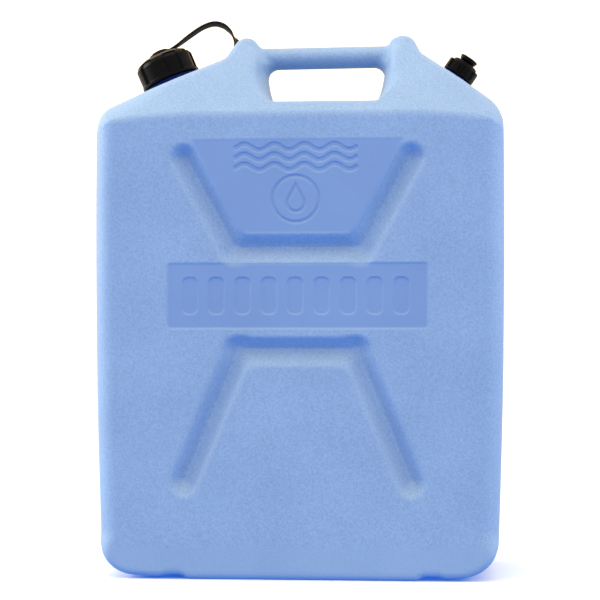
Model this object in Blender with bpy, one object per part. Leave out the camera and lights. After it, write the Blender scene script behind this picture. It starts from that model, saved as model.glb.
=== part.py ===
"""A blow-moulded polyethylene water jerry can with a screwed filler cap and a small breather cap.

World axes: X runs along the can's width, Y through its depth (the front face is at -Y), Z up.
The origin is on the floor, under the middle of the can.
"""
import math

import bmesh
import bpy
from mathutils import Euler, Matrix, Vector

MM = 0.001

# Can body, in millimetres.
HALF_WIDTH = 175.0
HALF_DEPTH = 86.0
WIDEST_Z = 315.0
SIDE_TAPER = 5.4
SIDE_TAPER_SPAN = 285.0
WALL = 3.0
SIDE_EDGE_RADIUS = 20.0
BASE_EDGE_RADIUS = 12.0
BASE_CORNER_RADIUS = 28.0
FRONT_TRIM = 0.6
PAD_HALF_WIDTH = 97.0
CHANNEL_OUTER_X = 122.0
CHANNEL_DEPTH = 3.5
CHANNEL_SIDE = 3.5
CORNER_STEPS = 5
FOOT_STEPS = 4
FACE_STATIONS = (80.0, 150.0, 230.0, WIDEST_Z)

# Roof, bumps and handle.
BEND_Z = 391.0
BEND_STATIONS = ((-9.0, 0.0), (-3.0, 0.9), (3.0, 3.3), (9.0, 7.2))
ROOF_SLOPE = 0.8
LEFT_SHOULDER_RADIUS = 16.0
RIGHT_SHOULDER_RADIUS = 17.0
LEFT_SHOULDER_ANGLE = math.radians(23.0)
RIGHT_SHOULDER_ANGLE = math.radians(35.0)
BUMP_TOP_Z = 471.0
BUMP_EDGE_RADIUS = 8.0
BUMP_CREST_RADIUS = 7.0
BUMP_INNER_RADIUS = 5.0
LEFT_BUMP_FILLET = 10.0
RIGHT_BUMP_FILLET = 5.0
BAR_FILLET = 3.0
BAR_TOP_Z = 462.4
BAR_HEIGHT = 19.6
BAR_DEPTH = 28.0
HAND_FLOOR_Z = 406.5
HAND_LEFT_X = -26.0
HAND_RIGHT_X = 63.0
HAND_LEFT_SPREAD = 0.19
HAND_RIGHT_SPREAD = 0.245
BAR_SIDES = 20
BAR_SLIT = 0.5
TOOL_MARGIN = 10.0
LEFT_BUMP_FOOT_X = -73.6
LEFT_BUMP_TOP_X = (-57.0, -42.0)
RIGHT_BUMP_TOP_X = (79.5, 95.1)
RIGHT_BUMP_FOOT_X = 104.5

# Pressed-in grooves, the same on the front and the back.
GROOVE_RADIUS = 16.25
GROOVE_DEPTH = 6.5
GROOVE_BEND_RADIUS = 20.0
GROOVE_SIDES = 20
GROOVE_END_STEPS = 4
GROOVE_END_REACH = 0.8
UPPER_GROOVE = ((-97.3, 364.8), (-51.5, 281.3), (51.5, 281.3), (97.3, 364.8))
LOWER_GROOVE = ((-96.1, 81.7), (-50.0, 192.4), (50.0, 192.4), (96.1, 81.7))

# Threads: half the ridge's height at its root and its crest, and how deep it is sunk in the wall.
THREAD_ROOT_HALF = 1.3
THREAD_CREST_HALF = 0.7
THREAD_SUNK = 0.6
THREAD_STEPS = 32

# Filler neck and cap. Heights run along the neck's axis from the foot of the cap's skirt.
FILLER_FOOT = Vector((-116.7, 0.0, 427.6))
FILLER_SEAT = -8.0
FILLER_BORE = 17.5
FILLER_NECK_RADIUS = 20.2
FILLER_COLLAR_RADIUS = 21.7
FILLER_NECK_TOP = 15.0
FILLER_RING_RADIUS = 25.0
FILLER_LEAD = 10.5
FILLER_CREST = 21.4
FILLER_THREAD = (3.4, 8.6)
CAP_THREAD = (4.2, 8.0)
CAP_BORE = 21.9
CAP_CEILING = 17.5
CAP_RIM_RADIUS = 26.6
CAP_RIM_TOP = 1.8
CAP_WALL_RADIUS = 26.1
CAP_GROOVE_RADIUS = 24.2
CAP_WALL_FOOT = 3.4
CAP_WALL_TOP = 18.8
CAP_WALL_CHAMFER = 2.0
CAP_TOP = 25.3
CAP_TOP_RADIUS = 10.5
CAP_GRIPS = 6
CAP_GRIP_SHARE = 0.5
CAP_SOCKET_DEPTH = 4.0
CORE_RADIUS = 1.0
DOME_STEPS = 4
FILLER_SEAL_BORE = 14.0
NECK_CHAMFER = 0.8
COLLAR_TOP = -1.0

# Breather neck, cap and knob. Heights run along its axis from the foot of its skirt.
BREATHER_FOOT = Vector((132.3, 0.0, 431.2))
BREATHER_SEAT = -6.3
BREATHER_BORE = 6.0
BREATHER_NECK_RADIUS = 8.6
BREATHER_COLLAR_RADIUS = 10.0
BREATHER_NECK_TOP = 7.0
BREATHER_RING_RADIUS = 13.6
BREATHER_LEAD = 6.0
BREATHER_CREST = 9.5
BREATHER_THREAD = (1.0, 4.4)
BREATHER_CAP_BORE = 10.0
BREATHER_CEILING = 9.0
BREATHER_LUG_RADIUS = 14.6
BREATHER_WAIST_RADIUS = 12.9
BREATHER_RIM_TOP = 1.6
BREATHER_LUG_TOP = 10.5
BREATHER_TOP = 14.0
BREATHER_LUGS = 8
BREATHER_LUG_SHARE = 0.66
BREATHER_DOME = ((11.4, 10.5), (11.0, 12.2), (9.6, 13.5), (7.4, 14.0))
SLEEVE_RADIUS = 5.6
SLEEVE_BORE = 4.7
SLEEVE_FOOT = -1.0
WEB_FOOT = 11.0
STEM_RADIUS = 3.0
STEM_BORE = 3.3
STEM_GROOVE_RADIUS = 2.8
PISTON_RADIUS = 4.2
PISTON_FOOT = 0.4
PISTON_TOP = 5.0
SEAL_GROOVE = (1.7, 3.9)
KNOB_RADIUS = 7.9
KNOB_NECK_RADIUS = 5.0
KNOB_CHAMFER = 0.6
KNOB_FOOT = 15.6
KNOB_TOP = 18.7
KNOB_SEAL_MIDDLE = 3.75
KNOB_SEAL_RADIUS = 0.65

# Strap between the filler cap's button and the stud behind the left bump.
STRAP_WIDTH = 7.5
STRAP_THICKNESS = 1.8
BUTTON_SHANK = 4.6
BUTTON_HEAD = 7.4
EYE_RADIUS = 10.0
ANCHOR_X = -56.0
ANCHOR_Z = 451.5
STUD_SHANK = 3.0
STUD_HEAD = 5.0
ANCHOR_EYE_RADIUS = 7.0
SOCKET_DEPTH = 2.0
HEAD_RIM = 0.8
HEAD_DOME = 1.6
TWIST_START = 0.35
TWIST_SPAN = 0.6

GAP = 0.3
SEGMENTS = 48
SMALL_SEGMENTS = 24
STUD_SEGMENTS = 16
SEAL_SIDES = 8

# Colours are linear RGB, with a roughness for each plastic.
TANK_BLUE = ((0.30, 0.47, 0.83), 0.55)
CAP_BLACK = ((0.012, 0.012, 0.014), 0.45)
STRAP_BLACK = ((0.016, 0.016, 0.018), 0.55)
COLLAR_NAVY = ((0.015, 0.022, 0.14), 0.4)
SEAL_GREY = ((0.05, 0.05, 0.055), 0.8)


def clear_scene():
    """Start from an empty scene."""
    for old in list(bpy.data.objects):
        bpy.data.objects.remove(old, do_unlink=True)


def plastic(name, finish):
    """Make a moulded plastic from its colour and roughness."""
    colour, roughness = finish
    material = bpy.data.materials.new(name)
    material.use_nodes = True
    shader = material.node_tree.nodes["Principled BSDF"]
    shader.inputs["Base Color"].default_value = (*colour, 1.0)
    shader.inputs["Roughness"].default_value = roughness
    shader.inputs["Metallic"].default_value = 0.0
    material.diffuse_color = (*colour, 1.0)
    return material


def finish_mesh(name, bm, material=None):
    """Turn a bmesh in millimetres into an object in metres, with its faces pointing out."""
    bmesh.ops.recalc_face_normals(bm, faces=bm.faces)
    bmesh.ops.scale(bm, vec=(MM, MM, MM), verts=bm.verts)
    mesh = bpy.data.meshes.new(name)
    bm.to_mesh(mesh)
    bm.free()
    mesh.shade_smooth()
    mesh.set_sharp_from_angle(angle=math.radians(35.0))
    part = bpy.data.objects.new(name, mesh)
    if material is not None:
        mesh.materials.append(material)
    bpy.context.scene.collection.objects.link(part)
    return part


def as_tool(part):
    """Mark an object that only shapes another, so that it isn't a part itself."""
    part.hide_render = True
    part.display_type = "WIRE"
    return part


def combine(part, tool, operation):
    """Join, cut or trim a part with a tool."""
    step = part.modifiers.new(tool.name, "BOOLEAN")
    step.operation = operation
    step.solver = "EXACT"
    step.object = as_tool(tool)


def seat_frame(foot, seat, lean):
    """Return where a leaning neck's skirt foot is, from the point where its axis meets the can."""
    axis = Vector((math.sin(lean), 0.0, math.cos(lean)))
    return foot - axis * seat


def place(part, foot, lean):
    """Stand a part on a leaning neck's axis."""
    part.location = foot * MM
    part.rotation_euler = Euler((0.0, lean, 0.0))
    return part


def add_rings(bm, rings, close_ends):
    """Join rings of points with faces. Close the ends, or else join the last ring to the first."""
    loops = [[bm.verts.new(point) for point in ring] for ring in rings]
    count = len(loops[0])
    pairs = list(zip(loops, loops[1:]))
    if not close_ends:
        pairs.append((loops[-1], loops[0]))
    for low, high in pairs:
        for i in range(count):
            j = (i + 1) % count
            bm.faces.new((low[i], low[j], high[j], high[i]))
    if close_ends:
        bm.faces.new(reversed(loops[0]))
        bm.faces.new(loops[-1])


def turned(name, profile, segments, material=None, axis_ends=True):
    """Turn a profile of (radius, height) points. A radius may be a function of the angle."""
    bm = bmesh.new()
    rings = []
    for radius, height in profile:
        ring = []
        for i in range(segments):
            angle = 2.0 * math.pi * i / segments
            reach = radius(i) if callable(radius) else radius
            ring.append((reach * math.cos(angle), reach * math.sin(angle), height))
        rings.append(ring)
    add_rings(bm, rings, axis_ends)
    return finish_mesh(name, bm, material)


def lobed(high, low, segments, lobes, share):
    """Return a radius that steps between raised lobes, each a share of its pitch, and the wall."""
    run = segments // lobes

    def radius(index):
        return high if index % run < share * run else low
    return radius


def corner_arc(before, corner, after, radius):
    """Return the points of a rounded corner between two straight edges."""
    back = (before - corner).normalized()
    ahead = (after - corner).normalized()
    half = back.angle(ahead) / 2.0
    if radius < 0.01 or abs(half - math.pi / 2.0) < 0.01:
        return [corner]
    reach = radius / math.tan(half)
    centre = corner + (back + ahead).normalized() * (radius / math.sin(half))
    start = corner + back * reach - centre
    turn = start.angle_signed(corner + ahead * reach - centre)
    steps = max(2, math.ceil(abs(turn) / math.radians(16.0)))
    points = []
    for k in range(steps + 1):
        angle = -turn * k / steps
        points.append(centre + Matrix.Rotation(angle, 2) @ start)
    return points


def rounded_outline(corners, inset=0.0):
    """Round an anticlockwise outline of (x, z, radius) corners, after moving its edges inwards."""
    points = [Vector((x, z)) for x, z, _ in corners]
    count = len(points)
    moved = []
    for i in range(count):
        back = (points[i] - points[i - 1]).normalized()
        ahead = (points[(i + 1) % count] - points[i]).normalized()
        back_in = Vector((-back.y, back.x))
        ahead_in = Vector((-ahead.y, ahead.x))
        spread = 1.0 + back_in.dot(ahead_in)
        moved.append(points[i] + (back_in + ahead_in) * (inset / spread))
    outline = []
    for i in range(count):
        back = points[i] - points[i - 1]
        ahead = points[(i + 1) % count] - points[i]
        convex = back.x * ahead.y - back.y * ahead.x > 0.0
        radius = corners[i][2]
        if radius > 0.0:
            radius = max(1.0, radius - inset if convex else radius + inset)
        outline += corner_arc(moved[i - 1], moved[i], moved[(i + 1) % count], radius)
    return outline


def front_prism(name, outline, half_depth):
    """Extrude an outline in the XZ plane through the can's depth."""
    bm = bmesh.new()
    front = [bm.verts.new((p.x, -half_depth, p.y)) for p in outline]
    face = bm.faces.new(front)
    grown = bmesh.ops.extrude_face_region(bm, geom=[face])["geom"]
    moved = [item for item in grown if isinstance(item, bmesh.types.BMVert)]
    bmesh.ops.translate(bm, verts=moved, vec=(0.0, 2.0 * half_depth, 0.0))
    return finish_mesh(name, bm)


def half_width(z):
    """Return the can's half width: widest near the top, drawn in a little towards the floor."""
    return HALF_WIDTH - SIDE_TAPER * ((WIDEST_Z - z) / SIDE_TAPER_SPAN) ** 2


def left_shoulder_z(x):
    """Return the height of the left shoulder, which carries the filler."""
    return FILLER_FOOT.z + math.tan(LEFT_SHOULDER_ANGLE) * (x - FILLER_FOOT.x)


def right_shoulder_z(x):
    """Return the height of the right shoulder, which carries the breather."""
    return BREATHER_FOOT.z - math.tan(RIGHT_SHOULDER_ANGLE) * (x - BREATHER_FOOT.x)


def hand_edge_x(z, side):
    """Return the hand hole's left (-1) or right (+1) edge at a height."""
    if side < 0:
        return HAND_LEFT_X - HAND_LEFT_SPREAD * (z - HAND_FLOOR_Z)
    return HAND_RIGHT_X + HAND_RIGHT_SPREAD * (z - HAND_FLOOR_Z)


def base_corners(plain):
    """Return the outline's corners along the floor, with or without the two shallow channels."""
    edge = half_width(0.0)
    if plain:
        return [(-edge, CHANNEL_DEPTH, BASE_CORNER_RADIUS), (edge, CHANNEL_DEPTH, BASE_CORNER_RADIUS)]
    right = [
        (PAD_HALF_WIDTH, 0.0, 0.0),
        (PAD_HALF_WIDTH + CHANNEL_SIDE, CHANNEL_DEPTH, 0.0),
        (CHANNEL_OUTER_X - CHANNEL_SIDE, CHANNEL_DEPTH, 0.0),
        (CHANNEL_OUTER_X, 0.0, 0.0),
        (edge + FRONT_TRIM, 0.0, BASE_CORNER_RADIUS),
    ]
    left = [(-x, z, radius) for x, z, radius in reversed(right)]
    return left + right


def side_corners():
    """Return points up the right side, on the bowed line of the side."""
    return [(half_width(z) + FRONT_TRIM, z, 0.0) for z in range(80, 400, 60)]


def front_corners(plain):
    """Return the corners of the can's outline as it is seen from the front, anticlockwise."""
    side = side_corners()
    edge = HALF_WIDTH + FRONT_TRIM
    right_top = [
        (edge, right_shoulder_z(edge), RIGHT_SHOULDER_RADIUS),
        (RIGHT_BUMP_FOOT_X, right_shoulder_z(RIGHT_BUMP_FOOT_X), RIGHT_BUMP_FILLET),
        (RIGHT_BUMP_TOP_X[1], BUMP_TOP_Z, BUMP_CREST_RADIUS),
        (RIGHT_BUMP_TOP_X[0], BUMP_TOP_Z, BUMP_INNER_RADIUS),
        (hand_edge_x(BAR_TOP_Z, 1), BAR_TOP_Z, BAR_FILLET),
    ]
    left_top = [
        (hand_edge_x(BAR_TOP_Z, -1), BAR_TOP_Z, BAR_FILLET),
        (LEFT_BUMP_TOP_X[1], BUMP_TOP_Z, BUMP_INNER_RADIUS),
        (LEFT_BUMP_TOP_X[0], BUMP_TOP_Z, BUMP_CREST_RADIUS),
        (LEFT_BUMP_FOOT_X, left_shoulder_z(LEFT_BUMP_FOOT_X), LEFT_BUMP_FILLET),
        (-edge, left_shoulder_z(-edge), LEFT_SHOULDER_RADIUS),
    ]
    left_side = [(-x, z, radius) for x, z, radius in reversed(side)]
    return base_corners(plain) + side + right_top + left_top + left_side


def section(z, half_depth, inset):
    """Return the can's rounded rectangular section at a height."""
    width = half_width(z) - inset
    depth = half_depth - inset
    radius = min(SIDE_EDGE_RADIUS - inset, depth - 1.0)
    ring = []
    for quarter in range(4):
        side_x = 1.0 if quarter in (0, 3) else -1.0
        side_y = 1.0 if quarter in (0, 1) else -1.0
        for k in range(CORNER_STEPS + 1):
            angle = math.pi / 2.0 * (quarter + k / CORNER_STEPS)
            x = side_x * (width - radius) + radius * math.cos(angle)
            y = side_y * (depth - radius) + radius * math.sin(angle)
            ring.append((x, y, z))
    return ring


def block(name, inset):
    """Stack sections into the can's body: rounded foot, upright faces, roof leaning back."""
    stations = []
    for k in range(FOOT_STEPS + 1):
        angle = math.pi / 2.0 * k / FOOT_STEPS
        foot_z = BASE_EDGE_RADIUS * (1.0 - math.cos(angle))
        foot_depth = HALF_DEPTH - BASE_EDGE_RADIUS * (1.0 - math.sin(angle))
        stations.append((foot_z + inset, foot_depth))
    stations += [(z, HALF_DEPTH) for z in FACE_STATIONS]
    for rise, lean in BEND_STATIONS:
        stations.append((BEND_Z + rise, HALF_DEPTH - lean))
    top_z = BUMP_TOP_Z + 1.0 - inset
    top_depth = HALF_DEPTH - ROOF_SLOPE * (top_z - BEND_Z)
    edge_z = top_z - BUMP_EDGE_RADIUS
    stations.append((edge_z, top_depth + ROOF_SLOPE * BUMP_EDGE_RADIUS))
    stations.append((top_z - 0.3 * BUMP_EDGE_RADIUS, top_depth))
    stations.append((top_z, top_depth - 0.4 * BUMP_EDGE_RADIUS))
    bm = bmesh.new()
    add_rings(bm, [section(z, depth, inset) for z, depth in stations], True)
    return finish_mesh(name, bm)


def bar_ellipse():
    """Return the handle bar's section, from its top and round past the back, as (y, z)."""
    points = []
    for k in range(1, BAR_SIDES):
        angle = 2.0 * math.pi * k / BAR_SIDES
        y = BAR_DEPTH / 2.0 * math.sin(angle)
        z = BAR_TOP_Z - BAR_HEIGHT / 2.0 * (1.0 - math.cos(angle))
        points.append((y, z))
    return points


def hand_space():
    """Make the space round the handle bar that the hand goes into."""
    far = HALF_DEPTH + TOOL_MARGIN
    top = BUMP_TOP_Z + TOOL_MARGIN
    back = [(far, HAND_FLOOR_Z), (far, top), (BAR_SLIT, top), (BAR_SLIT, BAR_TOP_Z)]
    front = [(-BAR_SLIT, BAR_TOP_Z), (-BAR_SLIT, top), (-far, top)]
    profile = [(-far, HAND_FLOOR_Z)] + back + bar_ellipse() + front
    bm = bmesh.new()
    rings = [[(hand_edge_x(z, side), y, z) for y, z in profile] for side in (-1, 1)]
    add_rings(bm, rings, True)
    return finish_mesh("hand_space", bm)


def hand_wall():
    """Make the block that keeps the can's hollow clear of the hand hole and the solid bar."""
    floor = HAND_FLOOR_Z - WALL
    top = BUMP_TOP_Z + TOOL_MARGIN
    far = HALF_DEPTH + TOOL_MARGIN
    rings = []
    for side in (-1, 1):
        low = hand_edge_x(floor, side) + side * WALL
        high = hand_edge_x(top, side) + side * WALL
        rings.append([(low, -far, floor), (low, far, floor), (high, far, top), (high, -far, top)])
    bm = bmesh.new()
    add_rings(bm, rings, True)
    return finish_mesh("hand_wall", bm)


def groove_line(corners):
    """Return a groove's line and its width factor: two legs, a bar, round ends and bends."""
    spots = [Vector(corner) for corner in corners]
    line = [spots[0]]
    for i in (1, 2):
        line += corner_arc(spots[i - 1], spots[i], spots[i + 1], GROOVE_BEND_RADIUS)
    line.append(spots[3])
    out_first = (line[0] - line[1]).normalized()
    out_last = (line[-1] - line[-2]).normalized()
    caps = []
    for k in range(1, GROOVE_END_STEPS + 1):
        angle = math.pi / 2.0 * k / (GROOVE_END_STEPS + 0.5)
        caps.append((GROOVE_RADIUS * GROOVE_END_REACH * math.sin(angle), math.cos(angle)))
    start = [(line[0] + out_first * reach, factor) for reach, factor in reversed(caps)]
    end = [(line[-1] + out_last * reach, factor) for reach, factor in caps]
    return start + [(point, 1.0) for point in line] + end


def groove_rod(name, corners, face, radius):
    """Make the rod that presses one groove into the front (-1) or back (+1) face."""
    line = groove_line(corners)
    depth = face * (HALF_DEPTH + GROOVE_RADIUS - GROOVE_DEPTH)
    rings = []
    for i, (point, factor) in enumerate(line):
        before = line[max(0, i - 1)][0]
        after = line[min(len(line) - 1, i + 1)][0]
        along = (after - before).normalized()
        across = Vector((-along.y, along.x))
        ring = []
        for k in range(GROOVE_SIDES):
            angle = 2.0 * math.pi * k / GROOVE_SIDES
            side = radius * factor * math.cos(angle)
            ring.append((point.x + across.x * side, depth + radius * factor * math.sin(angle),
                         point.y + across.y * side))
        rings.append(ring)
    bm = bmesh.new()
    add_rings(bm, rings, True)
    return finish_mesh(name, bm)


def helix_ridge(name, root, crest, lead, start, rise, phase):
    """Make one start of a thread: a tapered ridge climbing round a neck or down inside a cap."""
    turns = rise / lead
    steps = math.ceil(turns * THREAD_STEPS)
    outward = 1.0 if crest > root else -1.0
    rings = []
    for k in range(steps + 1):
        angle = phase + 2.0 * math.pi * turns * k / steps
        fade = min(1.0, 0.15 + 4.0 * min(k, steps - k) / steps)
        height = start + rise * k / steps
        buried = root - outward * THREAD_SUNK
        reach = root + (crest - root) * fade
        section_points = ((buried, -THREAD_ROOT_HALF), (reach, -THREAD_CREST_HALF),
                          (reach, THREAD_CREST_HALF), (buried, THREAD_ROOT_HALF))
        rings.append([(r * math.cos(angle), r * math.sin(angle), height + dz)
                      for r, dz in section_points])
    bm = bmesh.new()
    add_rings(bm, rings, True)
    return finish_mesh(name, bm)


def filler_frame():
    """Return the filler's skirt foot and lean."""
    lean = -LEFT_SHOULDER_ANGLE
    return seat_frame(FILLER_FOOT, FILLER_SEAT, lean), lean


def breather_frame():
    """Return the breather's skirt foot and lean."""
    lean = RIGHT_SHOULDER_ANGLE
    return seat_frame(BREATHER_FOOT, BREATHER_SEAT, lean), lean


def make_cavity():
    """Make the can's hollow: the body's shape drawn in by the wall, without grooves and hand hole."""
    cavity = block("cavity", WALL)
    outline = rounded_outline(front_corners(True), WALL)
    combine(cavity, front_prism("cavity_outline", outline, HALF_DEPTH + 20.0), "INTERSECT")
    combine(cavity, hand_wall(), "DIFFERENCE")
    for face in (-1, 1):
        for label, corners in (("upper", UPPER_GROOVE), ("lower", LOWER_GROOVE)):
            rod = groove_rod(f"{label}_rib_{face}", corners, face, GROOVE_RADIUS + WALL)
            combine(cavity, rod, "DIFFERENCE")
    return cavity


def add_filler_neck(tank):
    """Join the threaded filler neck to the can."""
    foot, lean = filler_frame()
    root = FILLER_SEAT - WALL / 2.0
    profile = [(FILLER_COLLAR_RADIUS, root), (FILLER_COLLAR_RADIUS, COLLAR_TOP),
               (FILLER_NECK_RADIUS, COLLAR_TOP), (FILLER_NECK_RADIUS, FILLER_NECK_TOP - NECK_CHAMFER),
               (FILLER_NECK_RADIUS - NECK_CHAMFER, FILLER_NECK_TOP)]
    combine(tank, place(turned("filler_neck", profile, SEGMENTS), foot, lean), "UNION")
    for phase in (0.0, math.pi):
        ridge = helix_ridge(f"filler_thread_{phase:.0f}", FILLER_NECK_RADIUS, FILLER_CREST,
                            FILLER_LEAD, *FILLER_THREAD, phase)
        combine(tank, place(ridge, foot, lean), "UNION")


def add_breather_neck(tank):
    """Join the small threaded breather neck to the can."""
    foot, lean = breather_frame()
    root = BREATHER_SEAT - WALL / 2.0
    profile = [(BREATHER_COLLAR_RADIUS, root), (BREATHER_COLLAR_RADIUS, COLLAR_TOP),
               (BREATHER_NECK_RADIUS, COLLAR_TOP),
               (BREATHER_NECK_RADIUS, BREATHER_NECK_TOP - NECK_CHAMFER),
               (BREATHER_NECK_RADIUS - NECK_CHAMFER, BREATHER_NECK_TOP)]
    combine(tank, place(turned("breather_neck", profile, SMALL_SEGMENTS), foot, lean), "UNION")
    ridge = helix_ridge("breather_thread", BREATHER_NECK_RADIUS, BREATHER_CREST,
                        BREATHER_LEAD, *BREATHER_THREAD, 0.0)
    combine(tank, place(ridge, foot, lean), "UNION")


def add_bore(tank, name, radius, low, high, segments, frame):
    """Open a neck into the can's hollow."""
    foot, lean = frame
    bore = turned(name, [(radius, low), (radius, high)], segments)
    combine(tank, place(bore, foot, lean), "DIFFERENCE")


def anchor_point(offset):
    """Return a point over the strap's anchor, on the back slope of the left bump."""
    plane_y = HALF_DEPTH - ROOF_SLOPE * (ANCHOR_Z - BEND_Z)
    out = Vector((0.0, 1.0, ROOF_SLOPE)).normalized()
    return Vector((ANCHOR_X, plane_y, ANCHOR_Z)) + out * offset


def place_at_anchor(part):
    """Stand a part on the strap's anchor, square to the bump's back slope."""
    part.location = anchor_point(0.0) * MM
    part.rotation_euler = Euler((-math.atan2(1.0, ROOF_SLOPE), 0.0, 0.0))
    return part


def make_tank(material):
    """Make the hollow can with its handle, grooves, necks and stud socket."""
    tank = block("tank_body", 0.0)
    tank.data.materials.append(material)
    outline = rounded_outline(front_corners(False))
    combine(tank, front_prism("front_outline", outline, HALF_DEPTH + 20.0), "INTERSECT")
    combine(tank, hand_space(), "DIFFERENCE")
    for face in (-1, 1):
        for label, corners in (("upper", UPPER_GROOVE), ("lower", LOWER_GROOVE)):
            rod = groove_rod(f"{label}_groove_{face}", corners, face, GROOVE_RADIUS)
            combine(tank, rod, "DIFFERENCE")
    add_filler_neck(tank)
    add_breather_neck(tank)
    combine(tank, make_cavity(), "DIFFERENCE")
    add_bore(tank, "filler_bore", FILLER_BORE, FILLER_SEAT - 3.0 * WALL,
             FILLER_NECK_TOP + TOOL_MARGIN, SEGMENTS, filler_frame())
    add_bore(tank, "breather_bore", BREATHER_BORE, BREATHER_SEAT - 3.0 * WALL,
             BREATHER_NECK_TOP + TOOL_MARGIN, SMALL_SEGMENTS, breather_frame())
    hole = STUD_SHANK + GAP
    socket = turned("stud_socket", [(hole, -SOCKET_DEPTH), (hole, TOOL_MARGIN)], STUD_SEGMENTS)
    combine(tank, place_at_anchor(socket), "DIFFERENCE")
    return tank


def make_collar(name, inner, outer, seat, segments, frame, material):
    """Make the soft collar that lies round a neck's foot, under the cap's skirt."""
    low = seat + GAP
    high = -GAP
    profile = [(inner, low), (outer, low), (outer, high - NECK_CHAMFER),
               (outer - NECK_CHAMFER, high), (inner, high)]
    collar = turned(name, profile, segments, material, axis_ends=False)
    return place(collar, *frame)


def make_filler_cap(material):
    """Make the filler cap: flared rim, broad grips, domed top and a socket for the button."""
    wall = lobed(CAP_WALL_RADIUS, CAP_GROOVE_RADIUS, SEGMENTS, CAP_GRIPS, CAP_GRIP_SHARE)
    shoulder = CAP_GROOVE_RADIUS - 0.6
    socket_floor = CAP_TOP - CAP_SOCKET_DEPTH
    socket = BUTTON_SHANK + GAP
    profile = [(CAP_BORE, 0.0), (CAP_RIM_RADIUS, 0.0), (CAP_RIM_RADIUS, CAP_RIM_TOP),
               (wall, CAP_WALL_FOOT), (wall, CAP_WALL_TOP - CAP_WALL_CHAMFER), (shoulder, CAP_WALL_TOP)]
    for k in range(1, DOME_STEPS + 1):
        angle = math.pi / 2.0 * k / DOME_STEPS
        radius = CAP_TOP_RADIUS + (shoulder - CAP_TOP_RADIUS) * math.cos(angle)
        profile.append((radius, CAP_WALL_TOP + (CAP_TOP - CAP_WALL_TOP) * math.sin(angle)))
    profile += [(socket, CAP_TOP), (socket, socket_floor), (CORE_RADIUS / 2.0, socket_floor),
                (CORE_RADIUS / 2.0, CAP_CEILING), (CAP_BORE, CAP_CEILING)]
    cap = turned("filler_cap", profile, SEGMENTS, material, axis_ends=False)
    plug = turned("cap_core", [(CORE_RADIUS, CAP_CEILING), (CORE_RADIUS, socket_floor)], SEGMENTS)
    foot, lean = filler_frame()
    combine(cap, place(plug, foot, lean), "UNION")
    for phase in (math.pi / 2.0, 3.0 * math.pi / 2.0):
        ridge = helix_ridge(f"cap_thread_{phase:.0f}", CAP_BORE, FILLER_NECK_RADIUS + GAP + 0.2,
                            FILLER_LEAD, *CAP_THREAD, phase)
        combine(cap, place(ridge, foot, lean), "UNION")
    return place(cap, foot, lean)


def make_washer(name, inner, outer, low, high, segments, frame, material):
    """Make a flat ring."""
    profile = [(inner, low), (outer, low), (outer, high), (inner, high)]
    return place(turned(name, profile, segments, material, axis_ends=False), *frame)


def make_strap_button(material):
    """Make the button that holds the strap's eye on the cap."""
    eye_low = CAP_TOP + GAP
    head_low = eye_low + STRAP_THICKNESS + GAP
    profile = [(BUTTON_SHANK, CAP_TOP - CAP_SOCKET_DEPTH + GAP), (BUTTON_SHANK, head_low),
               (BUTTON_HEAD, head_low), (BUTTON_HEAD, head_low + HEAD_RIM),
               (BUTTON_HEAD - HEAD_DOME, head_low + HEAD_DOME)]
    return place(turned("strap_button", profile, SMALL_SEGMENTS, material), *filler_frame())


def make_anchor_stud(material):
    """Make the stud that holds the strap's other eye behind the left bump."""
    head_low = STRAP_THICKNESS + 2.0 * GAP
    profile = [(STUD_SHANK, -SOCKET_DEPTH + GAP), (STUD_SHANK, head_low), (STUD_HEAD, head_low),
               (STUD_HEAD, head_low + HEAD_RIM), (STUD_HEAD - HEAD_DOME, head_low + HEAD_DOME)]
    return place_at_anchor(turned("strap_anchor_stud", profile, STUD_SEGMENTS, material))


def strap_line():
    """Return the strap's route from the cap's eye, over its arch and down behind the left bump."""
    foot, lean = filler_frame()
    axis = Vector((math.sin(lean), 0.0, math.cos(lean)))
    uphill = Vector((math.cos(lean), 0.0, -math.sin(lean)))
    eye = foot + axis * (CAP_TOP + GAP + STRAP_THICKNESS / 2.0)
    anchor = anchor_point(GAP + STRAP_THICKNESS / 2.0)
    down_slope = Vector((0.0, ROOF_SLOPE, -1.0)).normalized()
    route = [eye + uphill * (BUTTON_SHANK + 2.5), eye + uphill * EYE_RADIUS]
    route += [Vector(point) for point in (
        (-113.5, 0.2, 467.8), (-103.4, 1.2, 475.6), (-92.5, 3.6, 484.2), (-83.0, 7.4, 488.4),
        (-75.6, 12.0, 487.0), (-69.6, 17.0, 482.0), (-65.4, 22.4, 475.0), (-62.0, 27.8, 468.6))]
    route += [anchor - down_slope * 10.5, anchor - down_slope * (STUD_SHANK + 2.0)]
    return route


def smooth_line(route, steps):
    """Pass a smooth curve through a route's points."""
    padded = [route[0] * 2.0 - route[1]] + route + [route[-1] * 2.0 - route[-2]]
    line = []
    for i in range(len(route) - 1):
        a, b, c, d = padded[i:i + 4]
        for k in range(steps):
            t = k / steps
            line.append(0.5 * (2.0 * b + (c - a) * t + (2.0 * a - 5.0 * b + 4.0 * c - d) * t * t
                               + (3.0 * b - a - 3.0 * c + d) * t ** 3))
    line.append(route[-1])
    return line


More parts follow.
